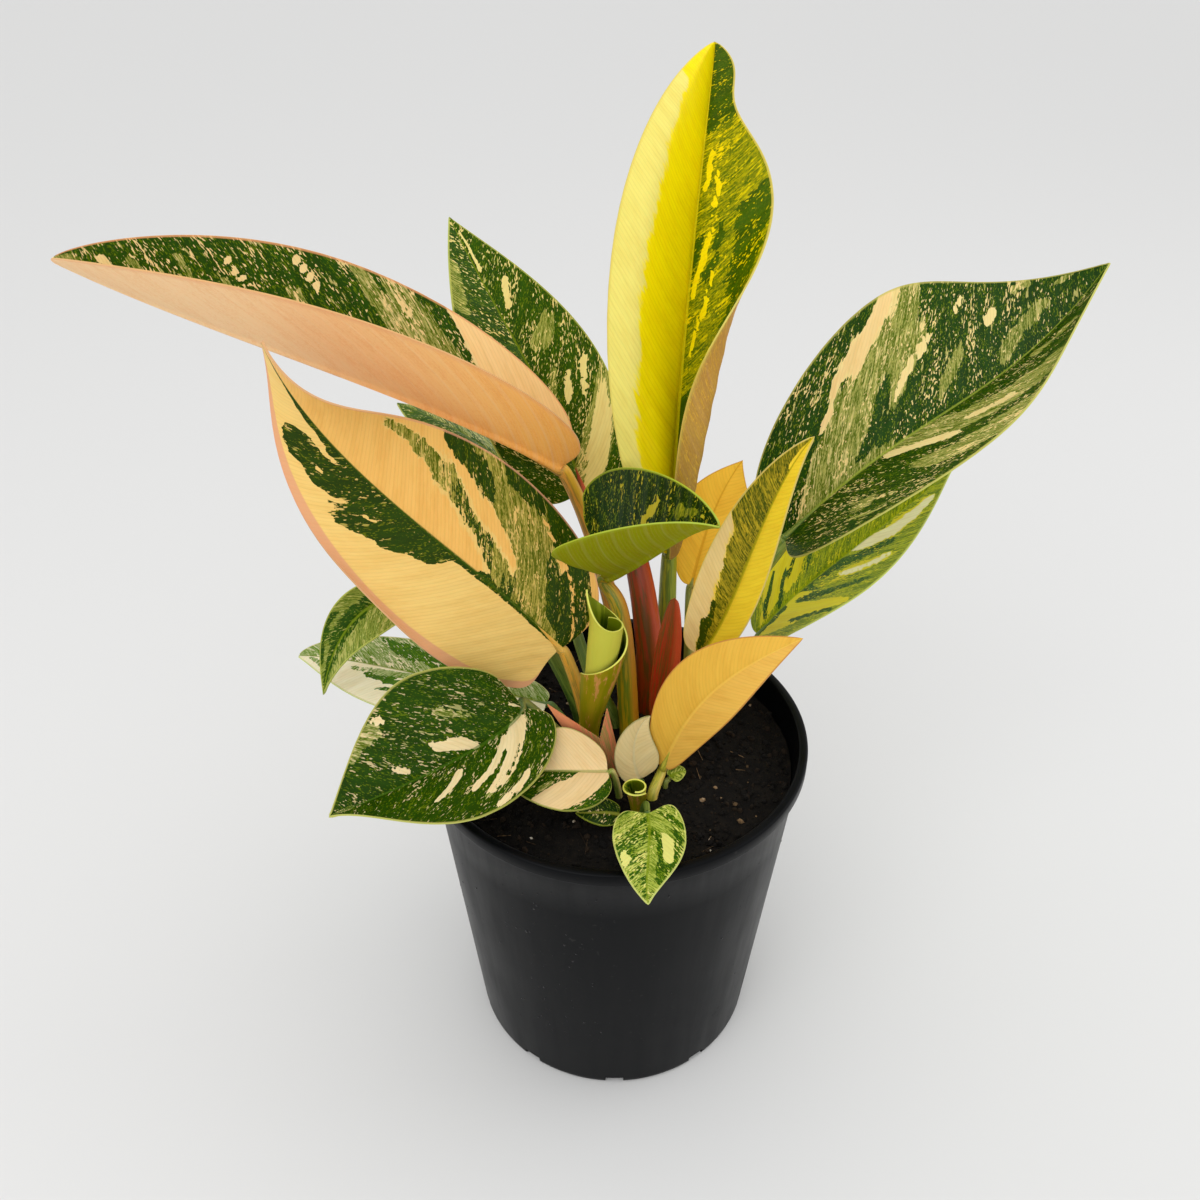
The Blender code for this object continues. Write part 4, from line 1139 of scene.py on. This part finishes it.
def stalk_route(stalk, *ends):
    """The stalk's points in mm: straight up out of its hole, then a smooth run to its end."""
    x, y = stalk.route[0]
    soil = SOIL_TOP / MM
    points = np.array([(x, y, soil - STALK_DEPTH), (x, y, soil + 1), *stalk.route[1:], *ends], float)
    padded = np.vstack([2 * points[0] - points[1], points, 2 * points[-1] - points[-2]])
    route = [points[0]]
    for k in range(1, len(points)):
        before, start, end, after = padded[k - 1:k + 3]
        for t in np.linspace(0, 1, ROUTE_STEPS + 1)[1:]:
            bend = (2 * start + (end - before) * t + (2 * before - 5 * start + 4 * end - after) * t * t
                    + (3 * start - before - 3 * end + after) * t ** 3) / 2
            route.append(bend)
    return np.array(route)


def tube(route, radii, sides):
    """A closed tube along a route in mm, as a grid wrapped round it."""
    along = unit(np.gradient(route, axis=0))
    first = unit(np.cross(along, (0, 1, 0)))
    second = np.cross(along, first)
    steps = np.linspace(0, 1, len(route))

    def place(u, v):
        index = np.round(u * (len(route) - 1)).astype(int)
        angle = np.pi * v
        ring = first[index] * np.cos(angle)[:, None] + second[index] * np.sin(angle)[:, None]
        radius = np.array(radii)[index][:, None]
        # The third number of place says how far the surface faces +X, for the stalks' painted light.
        return route[index] + ring * radius, np.zeros_like(u), {
            "place": np.stack([steps[index] * len(route) / (ROUTE_STEPS + 1), v, ring[:, 0]], -1)}

    shape = shaped_grid(len(route) - 1, sides, place)
    bmesh.ops.holes_fill(shape, edges=[edge for edge in shape.edges if edge.is_boundary])
    bmesh.ops.recalc_face_normals(shape, faces=shape.faces)
    return shape


def stalk_piece(stalk, leaf, seed):
    rib, along, _, normal = rib_frames(leaf)
    under = normal * (RIB_THICKNESS / 2)
    neck = rib[0] - along[0] * STALK_NECK * min(1, stalk.radius[1] / 1.5) - 1.5 * under[0]
    top = rib[0] - along[0] * 0.6 - under[0]
    inside = [rib[k] - under[k] * 1.1 for k in UNDER_RIB_STATIONS]
    route = stalk_route(stalk, neck, top, *inside)
    steps = np.linspace(0, 1, len(route))
    merge = 1 - len(inside) * ROUTE_STEPS / (len(route) - 1)
    radii = np.interp(steps, (0, 0.4 * merge, merge, 1), (stalk.radius[0], *stalk.radius, STALK_END_RADIUS))
    thing = new_piece(stalk.name + "_stem", tube(route, radii, STALK_SIDES), stalk_finish(stalk, seed))
    return kept(thing, stalk.slot, stalk.name)


def rolled_leaf(roll, inner, outer, rim_finish):
    outer_rim, tip_rim, inner_rim = roll.rim
    foot, mouth = roll.radius

    def place(u, v):
        s = (v + 1) / 2
        angle = np.radians(roll.first_angle) + 2 * np.pi * roll.turns * s
        before = np.clip((roll.tip_at - s) / roll.tip_at, 0, 1)
        after = np.clip((s - roll.tip_at) / (1 - roll.tip_at), 0, 1)
        rim = tip_rim - (tip_rim - outer_rim) * before ** 0.8
        rim = rim - (tip_rim - inner_rim) * (1 - np.exp(-after * 7))
        t = u * rim
        flare = foot + (mouth - foot) * ease((t - ROLL_FLARE_FROM) / ROLL_FLARE_LENGTH)
        lip = 1 + ROLL_LIP_FLARE * ease((t - ROLL_LIP_FROM) / (1 - ROLL_LIP_FROM))
        radius = flare * (1 - roll.shrink * s) * lip
        axis = curve_through(roll.axis, t)
        ring = np.stack([np.cos(angle), np.sin(angle), np.zeros_like(angle)], axis=-1)
        return axis + ring * radius[:, None], np.zeros_like(u), {
            "place": np.stack([u, s, t], -1)}

    materials = [inner, outer, rim_finish] if roll.turns > 0 else [outer, inner, rim_finish]
    thing = sheet(roll.name + "_blade", shaped_grid(roll.rows, roll.columns, place), materials,
                  ROLL_THICKNESS * MM)
    return kept(thing, "leaf_green", roll.name)


def roll_finish(name, body, stripe, blush, blush_from, coil):
    finish = Finish(name, Roughness=0.42, Specular_IOR_Level=0.15, Subsurface_Weight=0.08,
                    Subsurface_Scale=0.002)
    u, s, t = finish.attribute("place").parts()
    run = finish.vector(u * 2.2, s * 22, 3)
    long = finish.noise(run, 1, 3, 0.6)
    scribble = finish.noise(finish.vector(u * 9, s * 30, 8), 1, 3, 0.65)
    colour = finish.mix((long * 1.6 - 0.3).step(0.3, 0.7), body, stripe)
    within = s.step(0.42, 0.56)
    patches = (long + scribble * 0.7 + (t - 0.5).step(0, 0.1) * 0.12).step(1.0, 1.06) * (1 - within)
    colour = finish.mix(scribble.step(0.62, 0.66) * 0.4 + patches * 0.7 + (u - blush_from).step(0, 0.1) * 0.7,
                        colour, blush)
    colour = finish.mix(within * (u + long * 0.3).step(0.45, 0.8) * 0.9, colour, coil)
    return finish.surface(Base_Color=colour, Normal=finish.bump(long, 0.00015))


def pink_sheath(material):
    """One sheath that splits into two prongs above its foot."""
    foot, left_tip, fork, right_tip = (np.array(point, float) for point in (
        SHEATH_PINK_FOOT, SHEATH_PINK_LEFT_TIP, SHEATH_PINK_FORK, SHEATH_PINK_RIGHT_TIP))

    def place(u, v):
        left = np.maximum(v, 0)[:, None]
        right = np.maximum(-v, 0)[:, None]
        top = fork + (left_tip - fork) * left + (right_tip - fork) * right
        start = foot + np.outer(v, (-SHEATH_PINK_HALF_WIDTH, 0, 0))
        bow = np.outer((1 - v * v) * (1 - 0.7 * u), (0, -SHEATH_PINK_BOW, 0))
        sag = np.outer(4 * u * (1 - u) * np.maximum(v, 0), (0, 0, -SHEATH_PINK_SAG))
        return start * (1 - u[:, None]) + top * u[:, None] + bow + sag, np.zeros_like(u), {
            "place": np.stack([u, v, v], -1)}

    thing = sheet("sheath_pink_blade", shaped_grid(30, 30, place), [material] * 3,
                  SHEATH_THICKNESS * MM)
    return kept(thing, "sheath_pink", "sheath_pink")


def pot_radius(height):
    """Outer radius of the pot's body, below its collar."""
    top = POT_RIM_RADIUS - COLLAR_STEP
    return POT_BASE_RADIUS + (top - POT_BASE_RADIUS) * height / POT_HEIGHT


def pot_shape():
    """The pot turned from its profile, with a rounded lip and collar."""
    inner_top = pot_radius(POT_HEIGHT) - POT_WALL
    lip = POT_LIP_RADIUS
    profile = [(0, POT_FLOOR), (pot_radius(POT_FLOOR) - POT_WALL, POT_FLOOR)]
    profile += [(inner_top, POT_HEIGHT - lip)]
    profile += [(inner_top + lip * (1 - math.cos(a)), POT_HEIGHT - lip * (1 - math.sin(a)))
                for a in np.radians((30, 60, 90))]
    profile += [(POT_RIM_RADIUS - lip * (1 - math.sin(a)), POT_HEIGHT - lip * (1 - math.cos(a)))
                for a in np.radians((0, 30, 60, 90))]
    low = POT_HEIGHT - COLLAR_HEIGHT
    profile += [(POT_RIM_RADIUS, low + COLLAR_CORNER),
                (POT_RIM_RADIUS - 0.3 * COLLAR_CORNER, low + 0.3 * COLLAR_CORNER),
                (POT_RIM_RADIUS - COLLAR_CORNER, low), (pot_radius(low) + 0.4 * MM, low - 0.1 * MM),
                (pot_radius(low - 0.6 * MM), low - 0.6 * MM)]
    profile += [(pot_radius(height * MM), height * MM) for height in (110, 80, 50, 20, 3)]
    profile += [(pot_radius(FOOT_CHAMFER), FOOT_CHAMFER), (POT_BASE_RADIUS - 0.5 * MM, 0.4 * MM),
                (POT_BASE_RADIUS - FOOT_CHAMFER, 0), (0, 0)]
    shape = bmesh.new()
    corners = [shape.verts.new((radius, 0, height)) for radius, height in profile]
    edges = [shape.edges.new(pair) for pair in zip(corners, corners[1:])]
    bmesh.ops.spin(shape, geom=corners + edges, cent=(0, 0, 0), axis=(0, 0, 1), angle=2 * math.pi,
                   steps=POT_SIDES, use_merge=True)
    bmesh.ops.remove_doubles(shape, verts=shape.verts, dist=MERGE)
    bmesh.ops.recalc_face_normals(shape, faces=shape.faces)
    return shape


def cut_slots(body):
    """Cuts the drain slots out of the pot's foot."""
    shape = bmesh.new()
    for k in range(DRAIN_SLOTS):
        angle = 2 * math.pi * (k + 0.5) / DRAIN_SLOTS
        place = Matrix.Rotation(angle, 4, "Z") @ Matrix.Translation((POT_BASE_RADIUS, 0, 0))
        bmesh.ops.create_cube(shape, size=1, matrix=place @ Matrix.Diagonal((*DRAIN_SLOT_SIZE, 1)))
    cutter = new_piece("slot_cutter", shape)
    boolean = body.modifiers.new("Cut", "BOOLEAN")
    boolean.object = cutter
    boolean.operation = "DIFFERENCE"
    boolean.solver = "EXACT"
    applied(body)
    bpy.data.objects.remove(cutter)
    body.data.shade_smooth()
    body.data.set_sharp_from_angle(angle=POT_SHARP)


def soil_height(x, y, values):
    place = Vector((x, y, 0))
    wide, narrow = SOIL_BUMPS
    bump = noise.noise(place / wide) + 0.6 * noise.noise(place / narrow + Vector((3, 1, 7)))
    return SOIL_TOP + values.roughness * (bump - 0.15)


def soil_piece(values):
    edge = pot_radius(SOIL_TOP) - SOIL_EDGE
    bottom = pot_radius(POT_FLOOR) - SOIL_EDGE
    top_share, wall_share = 0.9, 0.05

    def place(u, v):
        radius = np.interp(u, (0, top_share, top_share + wall_share, 1), (0, edge, bottom, 0.1 * MM))
        angle = np.pi * v
        x = np.cos(angle) * radius
        y = np.sin(angle) * radius
        top = np.array([soil_height(a, b, values) for a, b in zip(x, y)])
        low = POT_FLOOR + 0.3 * MM
        z = top + (low - top) * np.clip((u - top_share) / wall_share, 0, 1)
        return np.stack([x, y, z], -1) / MM, np.zeros_like(u), {}

    shape = shaped_grid(100, 240, place)
    bmesh.ops.recalc_face_normals(shape, faces=shape.faces)
    thing = new_piece("mix_bed", shape, soil_finish(values))
    thing.data.set_sharp_from_angle(angle=MIX_SHARP)
    return kept(thing, "potting_mix", "soil")


def scattered(name, count, seed, reach, make):
    """Crumbs set on the mix by a seeded draw, clear of the stalks' feet."""
    draw = np.random.default_rng(seed)
    feet = [(*stalk.route[0], stalk.radius[0]) for stalk in STALKS]
    feet += [(*roll.axis[0][:2], roll.radius[0] + 1) for roll in ROLLS]
    shape = bmesh.new()
    tone = shape.verts.layers.float_vector.new("tone")
    for _ in range(count):
        radius = reach * math.sqrt(draw.random())
        angle = 2 * math.pi * draw.random()
        x, y = radius * math.cos(angle), radius * math.sin(angle)
        if any(math.hypot(x / MM - a, y / MM - b) < r + 1 for a, b, r in feet):
            continue
        made, shade = make(shape, x, y, draw)
        for vert in made:
            vert.co += (vert.co - Vector((x, y, vert.co.z))) * (draw.random() - 0.5) * 0.5
            vert[tone] = (shade, 0, 0)
    return new_piece(name, shape, grain_finish(), smooth=False)


# Operators

class PHILODENDRON_OT_pot(bpy.types.Operator):
    """Make the moulded pot with its rounded lip, collar and drain slots"""
    bl_idname = "philodendron.pot"
    bl_label = "Pot"

    def execute(self, context):
        values = context.scene.philodendron_pot
        body = new_piece("pot_shell", pot_shape(), pot_finish(values))
        cut_slots(body)
        kept(body, "pot_plastic", "pot")
        return {"FINISHED"}


class PHILODENDRON_OT_drops(bpy.types.Operator):
    """Set small water drops on the pot's outer wall"""
    bl_idname = "philodendron.drops"
    bl_label = "Water drops"

    def execute(self, context):
        draw = np.random.default_rng(DROPS_SEED)
        lowest, highest = DROPS_BETWEEN
        shape = bmesh.new()
        for _ in range(context.scene.philodendron_pot.droplets):
            height = lowest + (highest - lowest) * draw.random()
            start, spread = (-128, 34) if draw.random() < 0.6 else (-180, 180)
            angle = math.radians(start + spread * draw.random())
            radius = (0.15 + 0.4 * draw.random() ** 3) * MM
            place = Matrix.Rotation(angle, 4, "Z") @ Matrix.Translation((pot_radius(height), 0, height))
            bmesh.ops.create_icosphere(shape, subdivisions=2, radius=radius,
                                       matrix=place @ Matrix.Diagonal((0.45, 1, 1.25, 1)))
        finish = Finish("water", Base_Color=(0.002, 0.002, 0.003), Roughness=0.12, Specular_IOR_Level=0.3)
        kept(new_piece("pot_drops", shape, finish.material), "pot_plastic")
        return {"FINISHED"}


class PHILODENDRON_OT_soil(bpy.types.Operator):
    """Make the bed of potting mix and the loose crumbs, bark bits and fibres on it"""
    bl_idname = "philodendron.soil"
    bl_label = "Potting mix"

    def execute(self, context):
        values = context.scene.philodendron_soil
        soil_piece(values)
        reach = pot_radius(SOIL_TOP) - SOIL_EDGE - 1.2 * MM

        def crumb(shape, x, y, draw):
            size = (0.35 + 1.3 * draw.random() ** 2.5) * MM
            turn = Matrix.Rotation(WHOLE_TURN * draw.random(), 4, Vector(draw.normal(size=3)))
            place = Matrix.Translation((x, y, soil_height(x, y, values) + size * 0.3))
            stretch = Matrix.Diagonal((1, 0.55 + 0.45 * draw.random(), 0.5 + 0.4 * draw.random(), 1))
            made = bmesh.ops.create_icosphere(shape, subdivisions=1, radius=size,
                                              matrix=place @ turn @ stretch)
            tone = draw.random() * 0.84 if draw.random() < 0.965 else 0.86 + 0.14 * draw.random()
            return made["verts"], tone

        def fibre(shape, x, y, draw):
            length = (2 + 5 * draw.random()) * MM
            turn = Matrix.Rotation(WHOLE_TURN * draw.random(), 4, "Z")
            turn = turn @ Matrix.Rotation(0.3 * (draw.random() - 0.5), 4, "Y")
            place = Matrix.Translation((x, y, soil_height(x, y, values) + 0.6 * MM))
            made = bmesh.ops.create_cone(shape, cap_ends=True, segments=6, radius1=0.16 * MM,
                                         radius2=0.1 * MM, depth=length,
                                         matrix=place @ turn @ Matrix.Rotation(math.pi / 2, 4, "Y"))
            return made["verts"], 0.8 + 0.15 * draw.random()

        kept(scattered("mix_crumbs", values.grains, CRUMBS_SEED, reach, crumb), "potting_mix")
        kept(scattered("mix_fibres", FIBRES, FIBRES_SEED, reach - 3 * MM, fibre), "potting_mix")
        return {"FINISHED"}


class PHILODENDRON_OT_leaves(bpy.types.Operator):
    """Make every leaf blade with its veins, marbling and thin margin"""
    bl_idname = "philodendron.leaves"
    bl_label = "Leaf blades"

    def execute(self, context):
        values = context.scene.philodendron_leaf
        noise.seed_set(WAVER_SEED)
        for seed, leaf in enumerate(LEAVES):
            leaf_piece(leaf, LOOKS[leaf.name], seed * BLADE_SEED_STEP, values)
        return {"FINISHED"}


class PHILODENDRON_OT_stalks(bpy.types.Operator):
    """Make the leaf stalks, each run on under its leaf's midrib"""
    bl_idname = "philodendron.stalks"
    bl_label = "Leaf stalks"

    def execute(self, context):
        by_name = {leaf.name.split("_", 1)[1]: leaf for leaf in LEAVES}
        for seed, stalk in enumerate(STALKS):
            stalk_piece(stalk, by_name[stalk.name.split("_", 1)[1]], seed * STALK_SEED_STEP)
        return {"FINISHED"}


class PHILODENDRON_OT_rolls(bpy.types.Operator):
    """Make the two young leaves that are still rolled"""
    bl_idname = "philodendron.rolls"
    bl_label = "Rolled young leaves"

    def execute(self, context):
        inner = roll_finish("roll_inner", srgb(40, 66, 4), srgb(96, 116, 14), srgb(150, 160, 40), 0.93,
                            srgb(120, 136, 20))
        outer = roll_finish("roll_outer", srgb(132, 128, 14), srgb(150, 132, 26), srgb(206, 140, 84), 2,
                            srgb(196, 194, 74))
        rim = plain_finish("roll_rim", srgb(206, 206, 90))
        for roll in ROLLS:
            rolled_leaf(roll, inner, outer, rim)
        return {"FINISHED"}


class PHILODENDRON_OT_sheaths(bpy.types.Operator):
    """Make the red and the pink sheath that stand beside the stalks"""
    bl_idname = "philodendron.sheaths"
    bl_label = "Sheaths"

    def execute(self, context):
        # The third colour of each sheath is painted light, laid on one half of its sheet.
        red = Stalk("red_sheath", (), (), ((172, 50, 18), (112, 78, 22), (190, 76, 40)))
        pink = Stalk("pink_sheath", (), (), ((214, 120, 84), (150, 130, 70), (226, 140, 96)))

        def place(u, v):
            found = blade(SHEATH_RED, u, v)
            return found["point"], np.zeros_like(u), {"place": np.stack([u * 2, v, -v], -1)}

        finish = stalk_finish(red, 2)
        thing = sheet("sheath_red_blade", shaped_grid(60, 24, place), [finish] * 3,
                      SHEATH_THICKNESS * MM)
        kept(thing, "sheath_red", "sheath_red")
        pink_sheath(stalk_finish(pink, 4))
        return {"FINISHED"}


class PHILODENDRON_OT_stage(bpy.types.Operator):
    """Set the camera of the photograph, a plain pale floor and soft light"""
    bl_idname = "philodendron.stage"
    bl_label = "Stage"

    def execute(self, context):
        values = context.scene.philodendron_stage
        scene = context.scene
        lens = bpy.data.cameras.new("camera")
        lens.sensor_width = SENSOR
        lens.lens = FOCAL_PIXELS / PICTURE * SENSOR
        camera = bpy.data.objects.new("camera", lens)
        camera.location = CAMERA_PLACE
        camera.rotation_euler = (math.radians(90 - CAMERA_DOWN), 0, 0)
        scene.collection.objects.link(camera)
        scene.camera = camera
        shape = bmesh.new()
        bmesh.ops.create_grid(shape, x_segments=1, y_segments=1, size=FLOOR_HALF)
        finish = Finish("floor", Base_Color=tuple(values.floor), Roughness=0.7)
        floor = new_piece("floor", shape, finish.material)
        world = bpy.data.worlds.new("studio")
        world.use_nodes = True
        world.node_tree.nodes["Background"].inputs["Color"].default_value = (1, 1, 1, 1)
        world.node_tree.nodes["Background"].inputs["Strength"].default_value = values.light
        scene.world = world
        for name, place, size, power in LAMPS:
            lamp = bpy.data.lights.new(name, "AREA")
            lamp.size = size
            lamp.energy = power
            light = bpy.data.objects.new(name, lamp)
            light.location = place
            aim = Vector(LAMPS_AIM) - Vector(place)
            light.rotation_euler = aim.to_track_quat("-Z", "Y").to_euler()
            scene.collection.objects.link(light)
        scene.view_settings.view_transform = "Standard"
        return {"FINISHED"}


STEPS = (
    PHILODENDRON_OT_stage, PHILODENDRON_OT_pot, PHILODENDRON_OT_drops, PHILODENDRON_OT_soil,
    PHILODENDRON_OT_leaves, PHILODENDRON_OT_stalks, PHILODENDRON_OT_rolls, PHILODENDRON_OT_sheaths,
)
VALUES = {"pot": PotValues, "soil": SoilValues, "leaf": LeafValues, "stage": StageValues}


class PHILODENDRON_PT_panel(bpy.types.Panel):
    """Lists the values and the steps that make the plant"""
    bl_label = "Potted philodendron"
    bl_space_type = "VIEW_3D"
    bl_region_type = "UI"
    bl_category = "Philodendron"

    def draw(self, context):
        for name, group in VALUES.items():
            box = self.layout.box()
            for key in group.__annotations__:
                box.prop(getattr(context.scene, "philodendron_" + name), key)
        for step in STEPS:
            self.layout.operator(step.bl_idname)


def register():
    for group in VALUES.values():
        bpy.utils.register_class(group)
    for name, group in VALUES.items():
        setattr(bpy.types.Scene, "philodendron_" + name, bpy.props.PointerProperty(type=group))
    for step in STEPS:
        bpy.utils.register_class(step)
    bpy.utils.register_class(PHILODENDRON_PT_panel)


def unregister():
    bpy.utils.unregister_class(PHILODENDRON_PT_panel)
    for step in reversed(STEPS):
        bpy.utils.unregister_class(step)
    for name, group in VALUES.items():
        delattr(bpy.types.Scene, "philodendron_" + name)
        bpy.utils.unregister_class(group)


def main():
    register()
    for step in STEPS:
        group, name = step.bl_idname.split(".")
        getattr(getattr(bpy.ops, group), name)()
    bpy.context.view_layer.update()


if __name__ == "__main__":
    main()
